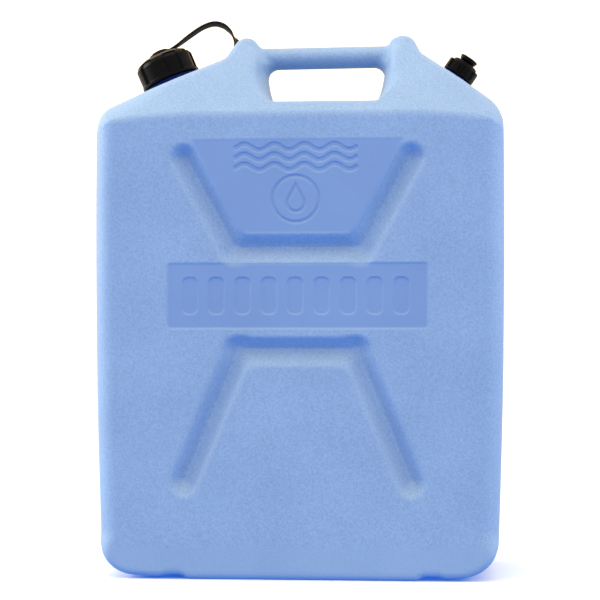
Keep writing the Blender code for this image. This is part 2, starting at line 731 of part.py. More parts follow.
def make_strap(material):
    """Make the flat moulded strap with an eye at each end, turning a quarter turn on its way."""
    line = smooth_line(strap_line(), 2)
    rings = []
    last = len(line) - 1
    for i, point in enumerate(line):
        along = (line[min(last, i + 1)] - line[max(0, i - 1)]).normalized()
        turn = min(1.0, max(0.0, (i / last - TWIST_START) / TWIST_SPAN))
        ease = turn * turn * (3.0 - 2.0 * turn)
        wide = Vector((math.sin(ease * math.pi / 2.0), math.cos(ease * math.pi / 2.0), 0.0))
        wide = (wide - along * wide.dot(along)).normalized() * (STRAP_WIDTH / 2.0)
        thick = along.cross(wide).normalized() * (STRAP_THICKNESS / 2.0)
        rings.append([point - wide - thick, point + wide - thick, point + wide + thick,
                      point - wide + thick])
    bm = bmesh.new()
    add_rings(bm, rings, True)
    strap = finish_mesh("cap_strap", bm, material)
    low = CAP_TOP + GAP
    eye = make_washer("cap_eye", BUTTON_SHANK + GAP, EYE_RADIUS, low, low + STRAP_THICKNESS,
                      SMALL_SEGMENTS, filler_frame(), None)
    combine(strap, eye, "UNION")
    profile = [(STUD_SHANK + GAP, GAP), (ANCHOR_EYE_RADIUS, GAP),
               (ANCHOR_EYE_RADIUS, GAP + STRAP_THICKNESS), (STUD_SHANK + GAP, GAP + STRAP_THICKNESS)]
    anchor_eye = turned("anchor_eye", profile, STUD_SEGMENTS, axis_ends=False)
    combine(strap, place_at_anchor(anchor_eye), "UNION")
    return strap


def make_breather_cap(material):
    """Make the breather cap: lugs round its wall, a stepped dome and a sleeve for the valve."""
    wall = lobed(BREATHER_LUG_RADIUS, BREATHER_WAIST_RADIUS, SMALL_SEGMENTS, BREATHER_LUGS,
                 BREATHER_LUG_SHARE)
    profile = [(BREATHER_CAP_BORE, 0.0), (BREATHER_LUG_RADIUS, 0.0),
               (BREATHER_LUG_RADIUS, BREATHER_RIM_TOP), (wall, BREATHER_RIM_TOP + HEAD_RIM),
               (wall, BREATHER_LUG_TOP), *BREATHER_DOME, (STEM_BORE, BREATHER_TOP),
               (STEM_BORE, WEB_FOOT), (SLEEVE_BORE, WEB_FOOT), (SLEEVE_BORE, SLEEVE_FOOT),
               (SLEEVE_RADIUS, SLEEVE_FOOT), (SLEEVE_RADIUS, BREATHER_CEILING),
               (BREATHER_CAP_BORE, BREATHER_CEILING)]
    cap = turned("breather_cap", profile, SMALL_SEGMENTS, material, axis_ends=False)
    return place(cap, *breather_frame())


def make_breather_knob(material):
    """Make the pull-up knob: a disc on a stem, with a grooved piston for its seal."""
    groove_low, groove_high = SEAL_GROOVE
    profile = [(PISTON_RADIUS, PISTON_FOOT), (PISTON_RADIUS, groove_low),
               (STEM_GROOVE_RADIUS, groove_low), (STEM_GROOVE_RADIUS, groove_high),
               (PISTON_RADIUS, groove_high), (PISTON_RADIUS, PISTON_TOP),
               (STEM_RADIUS, PISTON_TOP), (STEM_RADIUS, KNOB_FOOT - HEAD_RIM),
               (KNOB_NECK_RADIUS, KNOB_FOOT), (KNOB_RADIUS, KNOB_FOOT),
               (KNOB_RADIUS, KNOB_TOP - KNOB_CHAMFER), (KNOB_RADIUS - KNOB_CHAMFER, KNOB_TOP)]
    return place(turned("breather_knob", profile, SMALL_SEGMENTS, material), *breather_frame())


def make_round_seal(name, middle, section_radius, height, frame, material):
    """Make a round-section sealing ring."""
    profile = []
    for k in range(SEAL_SIDES):
        angle = 2.0 * math.pi * k / SEAL_SIDES
        profile.append((middle + section_radius * math.cos(angle),
                        height + section_radius * math.sin(angle)))
    return place(turned(name, profile, SMALL_SEGMENTS, material, axis_ends=False), *frame)


def build():
    """Make every piece of the can."""
    clear_scene()
    blue = plastic("tank_blue_polyethylene", TANK_BLUE)
    make_tank(blue)
    filler = filler_frame()
    breather = breather_frame()
    make_collar("filler_neck_ring", FILLER_COLLAR_RADIUS + GAP, FILLER_RING_RADIUS, FILLER_SEAT,
                SEGMENTS, filler, plastic("filler_ring_navy", COLLAR_NAVY))
    make_filler_cap(plastic("filler_cap_black", CAP_BLACK))
    make_washer("filler_cap_seal", FILLER_SEAL_BORE, FILLER_NECK_RADIUS, FILLER_NECK_TOP + GAP,
                CAP_CEILING - GAP, SEGMENTS, filler, plastic("filler_seal_rubber", SEAL_GREY))
    make_strap_button(plastic("button_black", CAP_BLACK))
    make_strap(plastic("strap_black", STRAP_BLACK))
    make_anchor_stud(plastic("stud_black", CAP_BLACK))
    make_collar("breather_neck_ring", BREATHER_COLLAR_RADIUS + GAP, BREATHER_RING_RADIUS,
                BREATHER_SEAT, SMALL_SEGMENTS, breather, plastic("breather_ring_navy", COLLAR_NAVY))
    make_breather_cap(plastic("breather_cap_black", CAP_BLACK))
    make_washer("breather_cap_seal", SLEEVE_RADIUS + GAP, BREATHER_CAP_BORE - 0.4,
                BREATHER_NECK_TOP + GAP, BREATHER_CEILING - GAP, SMALL_SEGMENTS, breather,
                plastic("breather_seal_rubber", SEAL_GREY))
    make_breather_knob(plastic("knob_black", CAP_BLACK))
    make_round_seal("breather_knob_seal", KNOB_SEAL_MIDDLE, KNOB_SEAL_RADIUS,
                    sum(SEAL_GROOVE) / 2.0, breather, plastic("knob_seal_rubber", SEAL_GREY))


build()
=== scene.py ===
import math

import bmesh
import bpy
import numpy as np
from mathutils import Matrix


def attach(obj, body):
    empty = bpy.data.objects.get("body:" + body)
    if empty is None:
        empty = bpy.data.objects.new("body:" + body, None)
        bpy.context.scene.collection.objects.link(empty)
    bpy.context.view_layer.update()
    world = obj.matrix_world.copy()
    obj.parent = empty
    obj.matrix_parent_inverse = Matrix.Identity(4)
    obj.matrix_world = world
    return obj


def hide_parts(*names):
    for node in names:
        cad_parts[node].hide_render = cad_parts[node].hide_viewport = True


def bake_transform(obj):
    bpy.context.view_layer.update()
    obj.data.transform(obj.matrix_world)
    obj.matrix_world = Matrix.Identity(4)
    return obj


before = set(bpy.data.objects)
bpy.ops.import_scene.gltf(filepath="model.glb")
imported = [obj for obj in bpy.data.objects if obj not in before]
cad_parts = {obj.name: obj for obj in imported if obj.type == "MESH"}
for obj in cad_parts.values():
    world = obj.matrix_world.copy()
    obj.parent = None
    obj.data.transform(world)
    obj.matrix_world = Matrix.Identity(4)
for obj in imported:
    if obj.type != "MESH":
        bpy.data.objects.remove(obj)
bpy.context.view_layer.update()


# ------------------------------
# Camera and studio. The can stands on white paper in a white surround, under a
# large softbox, with a warm softbox at its left and a weaker one at its right.
# ------------------------------
CAMERA_PLACE = (0.12993, -1.65090, 0.1963)
CAMERA_TILT = math.radians(91.4467)
CAMERA_TURN = math.radians(4.6477)
CAMERA_LENS = 111.66
SENSOR_WIDTH = 36.0
FAR_CLIP = 1000.0
FLOOR_SIZE = 600.0
HORIZON_BLEND = (0.40, 0.485)
SKY_LOW = (0.04, 0.23, 0.66, 1.0)
SKY_HIGH = (1.0, 0.82, 0.63, 1.0)
SKY_STRENGTH = 1.65
PLAIN_WHITE = (1.0, 1.0, 1.0)
WARM_WHITE = (1.0, 0.92, 0.76)
PAPER_WHITE = (0.75, 0.86, 0.98, 1.0)


def linear(code):
    """Turn an sRGB hex colour into linear RGB with the standard's two-part curve."""
    value = np.array([int(code[i:i + 2], 16) for i in (1, 3, 5)]) / 255.0
    bent = ((value + 0.055) / 1.055) ** 2.4
    return tuple(float(part) for part in np.where(value <= 0.04045, value / 12.92, bent))


def add_node(tree, kind, settings=None, inputs=None, links=None):
    """Add a node of a kind, set its properties and inputs, and link sockets into it."""
    made = tree.nodes.new(kind)
    for key, value in (settings or {}).items():
        setattr(made, key, value)
    for key, value in (inputs or {}).items():
        made.inputs[key].default_value = value
    for key, source in (links or {}).items():
        tree.links.new(source, made.inputs[key])
    return made


def new_material(name):
    """Start a node material and return it with its tree and its shader."""
    material = bpy.data.materials.new(name)
    material.use_nodes = True
    tree = material.node_tree
    return material, tree, tree.nodes["Principled BSDF"]


camera_data = bpy.data.cameras.new("camera")
camera_data.sensor_width = SENSOR_WIDTH
camera_data.lens = CAMERA_LENS
camera_data.clip_end = FAR_CLIP
camera = bpy.data.objects.new("camera", camera_data)
camera.location = CAMERA_PLACE
camera.rotation_euler = (CAMERA_TILT, 0.0, CAMERA_TURN)
bpy.context.scene.collection.objects.link(camera)
bpy.context.scene.camera = camera
bpy.context.scene.view_settings.view_transform = "Standard"

world = bpy.data.worlds.new("white_studio")
world.use_nodes = True
tree = world.node_tree
direction = add_node(tree, "ShaderNodeTexCoord").outputs["Generated"]
height = add_node(tree, "ShaderNodeSeparateXYZ", None, None, {"Vector": direction}).outputs["Z"]
sky = add_node(tree, "ShaderNodeValToRGB", None, None, {
    "Fac": add_node(tree, "ShaderNodeMapRange", None, {"From Min": -1.0, "From Max": 1.0},
                    {"Value": height}).outputs["Result"]})
for end, place, colour in zip(sky.color_ramp.elements, HORIZON_BLEND, (SKY_LOW, SKY_HIGH)):
    end.position = place
    end.color = colour
tree.links.new(sky.outputs["Color"], tree.nodes["Background"].inputs["Color"])
tree.nodes["Background"].inputs["Strength"].default_value = SKY_STRENGTH
bpy.context.scene.world = world


def softbox(name, place, aim, size, watts, colour):
    """Hang a square softbox at a place, facing a point."""
    light = bpy.data.lights.new(name, "AREA")
    light.color = colour
    light.size = size
    light.energy = watts
    lamp = bpy.data.objects.new(name, light)
    lamp.location = place
    direction = np.array(aim) - np.array(place)
    turn = math.atan2(direction[0], -direction[1])
    drop = math.atan2(math.hypot(direction[0], direction[1]), -direction[2])
    lamp.rotation_euler = (drop, 0.0, turn + math.pi)
    bpy.context.scene.collection.objects.link(lamp)


softbox("top_softbox", (0.0, -0.6, 2.2), (0.0, 0.0, 0.3), 1.6, 10.0, PLAIN_WHITE)
softbox("left_softbox", (-2.0, 0.1, 0.9), (0.0, 0.0, 0.25), 1.0, 38.0, WARM_WHITE)
softbox("right_softbox", (2.0, 0.0, 0.9), (0.0, 0.0, 0.25), 1.0, 11.0, PLAIN_WHITE)

floor_mesh = bpy.data.meshes.new("studio_floor")
half_floor = FLOOR_SIZE / 2.0
floor_mesh.from_pydata([(-half_floor, -half_floor, 0.0), (half_floor, -half_floor, 0.0),
                        (half_floor, half_floor, 0.0), (-half_floor, half_floor, 0.0)],
                       [], [(0, 1, 2, 3)])
floor = bpy.data.objects.new("studio_floor", floor_mesh)
bpy.context.scene.collection.objects.link(floor)
floor_paint, _, floor_shader = new_material("white_matt_studio_paper")
floor_shader.inputs["Base Color"].default_value = PAPER_WHITE
floor_shader.inputs["Roughness"].default_value = 1.0
floor_shader.inputs["Specular IOR Level"].default_value = 0.0
floor_mesh.materials.append(floor_paint)
floor.visible_diffuse = False


# ------------------------------
# Can body. One blow-moulded polyethylene shell: two bumps carry a round handle
# bar over a saddle, both faces have two pressed-in grooves, a smooth plate and
# a smooth panel, and the mould's parting line runs round at half depth.
# ------------------------------
# Sizes are in millimetres, from the middle of the foot: X along the width, Z up.
MM = 0.001
HALF_WIDTH = 175.0
WIDEST_Z = 315.0
SIDE_BOW = 5.4
SIDE_BOW_SPAN = 285.0
HALF_DEPTH = 86.0
EDGE_BLEND = 19.0
EDGE_BLEND_CUTS = (13.0, 13.5)
EDGE_TOP_Z = (392.0, 432.0)
EDGE_FOOT_Z = (42.0, 12.0)
SEAM_HEIGHT = 0.3
SEAM_WIDTH = 0.9

BASE_CORNER = 30.0
PAD_MIDDLE_X = 4.0
CHANNEL_RISE = 3.4
CHANNEL_X = (95.0, 104.0)
OUTER_PAD_DROP = 1.6
OUTER_PAD_X = (114.0, 122.0)
OUTER_PAD_RISE = 1.2
OUTER_PAD_END = 146.0

BEND_Z = 395.0
BEND_BLEND = 2.2
BEND_SAG = 6.5
BEND_SAG_X = (90.0, 75.0)
ROOF_SLOPE = 0.857
LEFT_LEAN = math.radians(23.0)
LEFT_SHOULDER = math.radians(24.8)
LEFT_SHOULDER_MARK = (-97.0, 436.0)
RIGHT_LEAN = math.radians(35.0)
RIGHT_SHOULDER = math.radians(36.7)
RIGHT_SHOULDER_MARK = (150.0, 418.8)
SHOULDER_BLENDS = (9.8, 11.0)
FILLER_SEAT = (-116.7, 427.6)
BREATHER_SEAT = (132.3, 431.2)

BUMP_TOP_Z = 471.0
LEFT_BUMP_TOP_DROP = 0.5
LEFT_BUMP_FOOT = (-67.9, 448.7)
LEFT_BUMP_NORMAL = (-0.885, 0.4656)
LEFT_BUMP_BLENDS = (5.3, 1.9)
RIGHT_BUMP_FOOT = (105.3, 450.1)
RIGHT_BUMP_NORMAL = (0.9075, 0.4202)
RIGHT_BUMP_BLENDS = (7.0, 1.0)

HAND_FLOOR_Z = 406.0
HAND_FLOOR_BLEND = 3.0
HAND_UPPER = (38.0, 60.0)
HAND_LEFT = (-22.6, 11.9, 14.0, 7.0)
HAND_RIGHT = (60.6, 13.0, 17.0, 3.6)
HAND_LEFT_OPENING = (0.02, 0.0045)
HAND_RIGHT_OPENING = (0.12, 0.0022)
RIM_BLEND = 2.2
RIM_GAINS = (5.0, 6.8)
RIM_SPLIT_X = 18.0
RIM_Z = (410.0, 424.0)
RIM_CUT = 0.6
RIM_CUT_Z = (430.0, 442.0, 462.0, 456.0)

BAR_MIDDLE_X = 20.0
BAR_Z = 453.8
BAR_CLIMB = 0.009
BAR_HALF_LENGTH = 66.0
BAR_HALF_HEIGHT = 9.5
BAR_HALF_DEPTH = 14.0
BAR_FILLET = 10.5
BAR_FILLET_CUT = 5.5
BAR_FILLET_Z = (445.0, 456.0)

GROOVE_HALF_WIDTH = 13.5
GROOVE_DEPTH = 10.0
GROOVE_ROUNDING = 1.4
GROOVE_SHIFT = 2.2
GROOVE_BEND = 7.0
UPPER_GROOVE = ((-96.5, 356.5), (-54.0, 278.8), (54.0, 278.8), (96.5, 356.5))
LOWER_GROOVE = ((-96.1, 81.7), (-50.0, 192.4), (50.0, 192.4), (96.1, 81.7))
PLATE_TOP_Z = 373.0
PLATE_FOOT_Z = 292.5
PLATE_TOP_X = 91.0
PLATE_FOOT_X = 48.6
PANEL_HALF_WIDTH = 110.5
PANEL_Z = (211.8, 267.0)
CORNER_BLEND = 3.0
BAND_TOP_Z = 28.0
PLATE_BEAD = (0.16, 1.1)
INSERT_BEAD = (0.25, 0.9)
PANEL_SUNK = 0.8
BAND_SUNK = 0.25
PLATE_SUNK = 0.08

WAVE_ROWS = (348.6, 357.0, 365.4)
WAVE_ENDS = (-52.0, 50.0)
WAVE_HEIGHT = 2.6
WAVE_LENGTH = 25.5
WAVE_HALF_LINE = 1.9
BADGE_X = -1.0
BADGE_Z = 321.5
BADGE_RADIUS = 19.6
BADGE_HALF_LINE = 1.3
DROP_Z = 318.0
DROP_RADIUS = 7.2
DROP_TIP = 15.5
BARS_X = -1.5
BARS_Z = 239.6
BARS_PITCH = 22.4
BARS_EACH_SIDE = 4.0
BARS_HALF_SIZE = (6.6, 15.5)
BARS_BLEND = 5.0
MARK_DEPTH = 1.0


def smooth_step(low, high, value):
    """Ease from 0 at low to 1 at high along the cubic 3t^2 - 2t^3."""
    t = np.clip((value - low) / (high - low), 0.0, 1.0)
    return t * t * (3.0 - 2.0 * t)


def both(a, b, radius):
    """Keep what is inside both shapes: the larger distance, with the edge rounded to a radius."""
    over_a = np.maximum(a + radius, 0.0)
    over_b = np.maximum(b + radius, 0.0)
    return np.minimum(np.maximum(a, b), -radius) + np.hypot(over_a, over_b)


def either(a, b, radius):
    """Keep what is inside either shape, with a fillet of a radius in the corner between them."""
    return -both(-a, -b, radius)


def path_distance(x, z, corners, bend):
    """Distance to a line of three straight runs, its two bends softened over a given length."""
    nearest = None
    for (x0, z0), (x1, z1) in zip(corners, corners[1:]):
        run_x = x1 - x0
        run_z = z1 - z0
        along = ((x - x0) * run_x + (z - z0) * run_z) / (run_x ** 2 + run_z ** 2)
        along = np.clip(along, 0.0, 1.0)
        gap = np.hypot(x - x0 - along * run_x, z - z0 - along * run_z)
        if nearest is None:
            nearest = gap
        else:
            share = np.clip(0.5 + 0.5 * (nearest - gap) / bend, 0.0, 1.0)
            nearest = nearest + (gap - nearest) * share - bend * share * (1.0 - share)
    return np.maximum(nearest, 0.0)


def groove_depth(x, z):
    """Depth of the two grooves: a V of the distance to each middle line, its foot and edges eased.
    The foot lies a little above the middle, so that the upper wall is the steeper one."""
    depth = 0.0
    for corners in (UPPER_GROOVE, LOWER_GROOVE):
        share = 1.0 - path_distance(x, z, corners, GROOVE_BEND) / GROOVE_HALF_WIDTH
        shift = GROOVE_SHIFT * np.clip(share, 0.0, 1.0)
        shifted = path_distance(x, z - shift, corners, GROOVE_BEND)
        away = np.hypot(shifted, GROOVE_ROUNDING) - GROOVE_ROUNDING
        rise = np.clip(1.0 - away / (GROOVE_HALF_WIDTH - GROOVE_ROUNDING / 2.0), 0.0, 1.0)
        eased = np.where(rise < 0.3, rise ** 2 / 0.6, rise - 0.15) / 0.85
        depth = depth + GROOVE_DEPTH * eased
    return depth


def plate_distance(x, z):
    """Distance outside the smooth plate between the upper groove's legs, a tapered shape."""
    lean = (PLATE_TOP_X - PLATE_FOOT_X) / (PLATE_TOP_Z - PLATE_FOOT_Z)
    side = (np.abs(x) - PLATE_FOOT_X - lean * (z - PLATE_FOOT_Z)) / math.hypot(1.0, lean)
    return both(both(z - PLATE_TOP_Z, PLATE_FOOT_Z - z, 0.0), side, CORNER_BLEND)


def panel_distance(x, z):
    """Distance outside the smooth panel below the upper groove: a rectangle with soft corners."""
    middle = (PANEL_Z[0] + PANEL_Z[1]) / 2.0
    half = (PANEL_Z[1] - PANEL_Z[0]) / 2.0
    return both(np.abs(x) - PANEL_HALF_WIDTH, np.abs(z - middle) - half, CORNER_BLEND)


def insert_line_distance(x, z):
    """Distance to the two upright lines that the mould's insert leaves below the panel."""
    ends = np.maximum(np.maximum(z - PANEL_Z[0], BAND_TOP_Z - z), 0.0)
    return np.hypot(np.abs(x) - PANEL_HALF_WIDTH, ends)


def waves_distance(x, z):
    """Distance outside three rows of wavy strokes, each a sine along X with round ends."""
    along = np.clip(x, *WAVE_ENDS)
    turn = 2.0 * math.pi / WAVE_LENGTH
    slope = WAVE_HEIGHT * turn * np.cos(turn * along)
    nearest = np.inf
    for row in WAVE_ROWS:
        rise = z - row - WAVE_HEIGHT * np.sin(turn * along)
        nearest = np.minimum(nearest, np.hypot(x - along, rise / np.hypot(1.0, slope)))
    return nearest - WAVE_HALF_LINE


def drop_distance(x, z):
    """Distance outside a water drop: a circle, and two lines from it that meet at a tip."""
    across = np.abs(x - BADGE_X)
    rise = z - DROP_Z
    sine = DROP_RADIUS / DROP_TIP
    cosine = math.sqrt(1.0 - sine * sine)
    on_line = rise * cosine - across * sine > 0.0
    return np.where(on_line, across * cosine + rise * sine, np.hypot(across, rise)) - DROP_RADIUS


def badge_distance(x, z):
    """Distance outside a round badge: a ring with the outline of a drop inside it."""
    ring = np.abs(np.hypot(x - BADGE_X, z - BADGE_Z) - BADGE_RADIUS)
    return np.minimum(ring, np.abs(drop_distance(x, z))) - BADGE_HALF_LINE


def bars_distance(x, z):
    """Distance outside a row of plain upright bars with round corners on the panel."""
    step = np.clip(np.round((x - BARS_X) / BARS_PITCH), -BARS_EACH_SIDE, BARS_EACH_SIDE)
    across = np.abs(x - BARS_X - step * BARS_PITCH)
    return both(across - BARS_HALF_SIZE[0], np.abs(z - BARS_Z) - BARS_HALF_SIZE[1], BARS_BLEND)


def mark_depth(x, z):
    """Depth of the pressed-in marks on the front: eased walls round each mark's outline."""
    lines = np.minimum(waves_distance(x, z), badge_distance(x, z))
    bars = bars_distance(x, z)
    return MARK_DEPTH * (smooth_step(0.7, -0.9, lines) + smooth_step(0.9, -0.9, bars))


def front_relief(x, z):
    """Small height steps of both faces: the plate's line, the sunk panel, the insert lines."""
    plate = plate_distance(x, z)
    bead = PLATE_BEAD[0] * np.exp(-(plate / PLATE_BEAD[1]) ** 2)
    bead = bead + INSERT_BEAD[0] * np.exp(-(insert_line_distance(x, z) / INSERT_BEAD[1]) ** 2)
    sunk = PANEL_SUNK * smooth_step(1.2, -1.2, panel_distance(x, z))
    sunk = sunk + BAND_SUNK * smooth_step(1.5, -1.5, z - BAND_TOP_Z)
    return bead - sunk - PLATE_SUNK * smooth_step(1.6, -1.6, plate)


def flank_reach(climb, flank):
    """How far a flank leans out at a height over the saddle: quickly at first, dying away as an
    exponential, and once more near the bump's top."""
    _, lean, ease, last = flank
    rising = np.maximum(climb, -5.0)
    return lean * (1.0 - np.exp(-rising / ease)) + last * smooth_step(*HAND_UPPER, climb)


def hand_space(x, y, z):
    """Space for the hand: above the saddle, between flanks that lean out and open to the faces."""
    climb = z - HAND_FLOOR_Z
    deep = np.maximum(np.abs(y) - 10.0, 0.0)
    opening_left = np.clip(HAND_LEFT_OPENING[0] + HAND_LEFT_OPENING[1] * climb, 0.0, 0.3)
    opening_right = np.clip(HAND_RIGHT_OPENING[0] + HAND_RIGHT_OPENING[1] * climb, 0.0, 0.3)
    left = HAND_LEFT[0] - flank_reach(climb, HAND_LEFT) - opening_left * deep
    right = HAND_RIGHT[0] + flank_reach(climb, HAND_RIGHT) + opening_right * deep
    return both(np.maximum(left - x, x - right) * 0.97, -climb, HAND_FLOOR_BLEND)


def bar_distance(x, y, z):
    """Distance outside the handle bar: an oval rod that ends inside the bumps."""
    rise = z - BAR_Z - BAR_CLIMB * (x - BAR_MIDDLE_X)
    near = np.hypot(rise / BAR_HALF_HEIGHT, y / BAR_HALF_DEPTH)
    slope = np.hypot(rise / BAR_HALF_HEIGHT ** 2, y / BAR_HALF_DEPTH ** 2)
    rod = near * (near - 1.0) / np.maximum(slope, 1e-6)
    return np.maximum(rod, np.abs(x - BAR_MIDDLE_X) - BAR_HALF_LENGTH)


def neck_axis_distance(x, y, z, seat, lean):
    """Distance from a leaning neck's axis, and height along it from where it meets the can."""
    axis_x = math.sin(lean)
    axis_z = math.cos(lean)
    along = (x - seat[0]) * axis_x + (z - seat[1]) * axis_z
    across = (x - seat[0]) * axis_z - (z - seat[1]) * axis_x
    return np.hypot(across, y), along


def line_distance(x, z, spot, normal):
    """Distance beyond a straight line through a spot, measured along its normal."""
    return (x - spot[0]) * normal[0] + (z - spot[1]) * normal[1]


def outline_distance(x, z):
    """Distance outside the front outline: bowed sides, the foot's pads and the stepped top."""
    side = np.abs(x) - HALF_WIDTH + SIDE_BOW * ((WIDEST_Z - z) / SIDE_BOW_SPAN) ** 2
    across = np.abs(x - PAD_MIDDLE_X)
    sole = (CHANNEL_RISE * smooth_step(*CHANNEL_X, across)
            - OUTER_PAD_DROP * smooth_step(*OUTER_PAD_X, across)
            + OUTER_PAD_RISE * smooth_step(OUTER_PAD_X[1], OUTER_PAD_END, across))
    low = both(side, sole - z, BASE_CORNER)
    left = line_distance(x, z, LEFT_SHOULDER_MARK,
                         (-math.sin(LEFT_SHOULDER), math.cos(LEFT_SHOULDER)))
    right = line_distance(x, z, RIGHT_SHOULDER_MARK,
                          (math.sin(RIGHT_SHOULDER), math.cos(RIGHT_SHOULDER)))
    top = z - BUMP_TOP_Z
    left_flank = line_distance(x, z, LEFT_BUMP_FOOT, LEFT_BUMP_NORMAL)
    right_flank = line_distance(x, z, RIGHT_BUMP_FOOT, RIGHT_BUMP_NORMAL)
    left_bump = both(left_flank, top + LEFT_BUMP_TOP_DROP, LEFT_BUMP_BLENDS[0])
    left = either(left, left_bump, LEFT_BUMP_BLENDS[1])
    right = either(right, both(right_flank, top, RIGHT_BUMP_BLENDS[0]), RIGHT_BUMP_BLENDS[1])
    return both(low, np.maximum(left, right), np.where(x < 0.0, *SHOULDER_BLENDS))


FILLER_BORE = 18.6
FILLER_BORE_DEPTH = 60.0
BREATHER_BORE = 7.2
BREATHER_BORE_DEPTH = 30.0
CHAMBER_MIDDLE = (-81.5, 0.0, 345.0)
CHAMBER_HALF_SIZE = (60.0, 62.0, 75.0)


def chamber_distance(x, y, z):
    """Distance outside the hollow under the filler neck, an egg-shaped room."""
    parts = [((value - middle) / half) ** 2
             for value, middle, half in zip((x, y, z), CHAMBER_MIDDLE, CHAMBER_HALF_SIZE)]
    return (np.sqrt(parts[0] + parts[1] + parts[2]) - 1.0) * CHAMBER_HALF_SIZE[0]


def can_distance(x, y, z, marks):
    """Distance outside the whole can: the front outline, cut to the depth of its faces and roof,
    less the hand space, with the handle bar joined on and the two necks' wells opened."""
    face = np.abs(y) - HALF_DEPTH + groove_depth(x, z) - front_relief(x, z)
    if marks:
        face = face + np.where(y < 0.0, mark_depth(x, z), 0.0)
    sag = (np.maximum(np.abs(x) - BEND_SAG_X[0], 0.0) / BEND_SAG_X[1]) ** 2
    over_bend = z - BEND_Z + BEND_SAG * sag
    roof = (np.abs(y) - HALF_DEPTH + ROOF_SLOPE * over_bend) / math.hypot(1.0, ROOF_SLOPE)
    edge = (EDGE_BLEND - EDGE_BLEND_CUTS[0] * smooth_step(*EDGE_TOP_Z, z)
            - EDGE_BLEND_CUTS[1] * smooth_step(*EDGE_FOOT_Z, z))
    seam = SEAM_HEIGHT * np.exp(-(y / SEAM_WIDTH) ** 2)
    body = both(outline_distance(x, z) - seam, both(face, roof, BEND_BLEND), edge)
    beside_bar = smooth_step(*RIM_CUT_Z[:2], z) * smooth_step(*RIM_CUT_Z[2:], z)
    gain = np.where(x < RIM_SPLIT_X, *RIM_GAINS) * smooth_step(*RIM_Z, z)
    body = both(body, -hand_space(x, y, z), RIM_BLEND + gain * (1.0 - RIM_CUT * beside_bar))
    fillet = BAR_FILLET - BAR_FILLET_CUT * smooth_step(*BAR_FILLET_Z, z)
    body = either(body, bar_distance(x, y, z), fillet)
    reach, along = neck_axis_distance(x, y, z, FILLER_SEAT, -LEFT_LEAN)
    well = np.maximum(reach - FILLER_BORE, -along - FILLER_BORE_DEPTH)
    body = np.maximum(body, -np.minimum(well, chamber_distance(x, y, z)))
    reach, along = neck_axis_distance(x, y, z, BREATHER_SEAT, RIGHT_LEAN)
    return np.maximum(body, -np.maximum(reach - BREATHER_BORE, -along - BREATHER_BORE_DEPTH))


def plain_can(x, y, z):
    """Distance outside the can without its marks."""
    return can_distance(x, y, z, False)


def marked_can(x, y, z):
    """Distance outside the can with its marks."""
    return can_distance(x, y, z, True)


def spread(low, high, step):
    """Evenly spaced grid lines from low to high, about a step apart."""
    return np.linspace(low, high, int(round((high - low) / step)) + 1)


def wrap_surface(distance, lines):
    """Wrap the zero level of a distance in a mesh. Each grid cell that the level passes through
    gets one point, the mean of its edges' crossings. Each crossed grid edge gets one four-sided
    face between the four cells round it, turned to face outwards."""
    field = distance(*np.meshgrid(*lines, indexing="ij"))
    cells = tuple(size - 1 for size in field.shape)
    total = np.zeros(cells + (3,))
    count = np.zeros(cells)
    crossings = []
    for axis in range(3):
        low = field.take(range(cells[axis]), axis)
        high = field.take(range(1, cells[axis] + 1), axis)
        crossed = (low < 0.0) != (high < 0.0)
        share = np.where(crossed, low / np.where(crossed, low - high, 1.0), 0.0)
        starts = [lines[k][:low.shape[k]] for k in range(3)]
        place = np.stack(np.meshgrid(*starts, indexing="ij"), -1)
        gap_shape = [1, 1, 1]
        gap_shape[axis] = -1
        place[..., axis] += share * np.diff(lines[axis]).reshape(gap_shape)
        place *= crossed[..., None]
        second, third = (axis + 1) % 3, (axis + 2) % 3
        for a in (0, 1):
            for b in (0, 1):
                window = [slice(None)] * 3
                window[second] = slice(a, a + cells[second])
                window[third] = slice(b, b + cells[third])
                total += place[tuple(window)]
                count += crossed[tuple(window)]
        crossings.append((crossed, low))
    active = count > 0
    number = np.cumsum(active.ravel()).reshape(cells) - 1
    points = total[active] / count[active][:, None]
    faces = []
    for axis, (crossed, low) in enumerate(crossings):
        second, third = (axis + 1) % 3, (axis + 2) % 3
        spot = np.argwhere(crossed)
        inside = (spot[:, second] > 0) & (spot[:, third] > 0)
        inside &= (spot[:, second] < cells[second]) & (spot[:, third] < cells[third])
        spot = spot[inside]
        ring = []
        for a, b in ((1, 1), (0, 1), (0, 0), (1, 0)):
            cell = spot.copy()
            cell[:, second] -= a
            cell[:, third] -= b
            ring.append(number[tuple(cell.T)])
        ring = np.stack(ring, -1)
        outward = low[tuple(spot.T)] < 0.0
        faces.append(np.where(outward[:, None], ring, ring[:, ::-1]))
    return points, np.concatenate(faces)


def slope_of(distance, points, step=0.05):
    """Slope of a distance at points, from the difference over a small step each way."""
    parts = []
    for axis in range(3):
        shift = np.zeros(3)
        shift[axis] = step
        ahead = distance(*(points + shift).T)
        behind = distance(*(points - shift).T)
        parts.append((ahead - behind) / (2.0 * step))
    return np.stack(parts, -1)


def settle(distance, points, rounds):
    """Slide points down the slope until they lie on the surface, at most 2 mm a round."""
    for _ in range(rounds):
        slope = slope_of(distance, points)
        move = slope * (distance(*points.T) / np.maximum((slope ** 2).sum(1), 0.05))[:, None]
        length = np.linalg.norm(move, axis=1, keepdims=True)
        points = points - move * np.minimum(1.0, 2.0 / np.maximum(length, 1e-9))
    return points


FINE_REACH = 2.2
BACK_FINE_REACH = 1.2
FINE_Y = 74.0


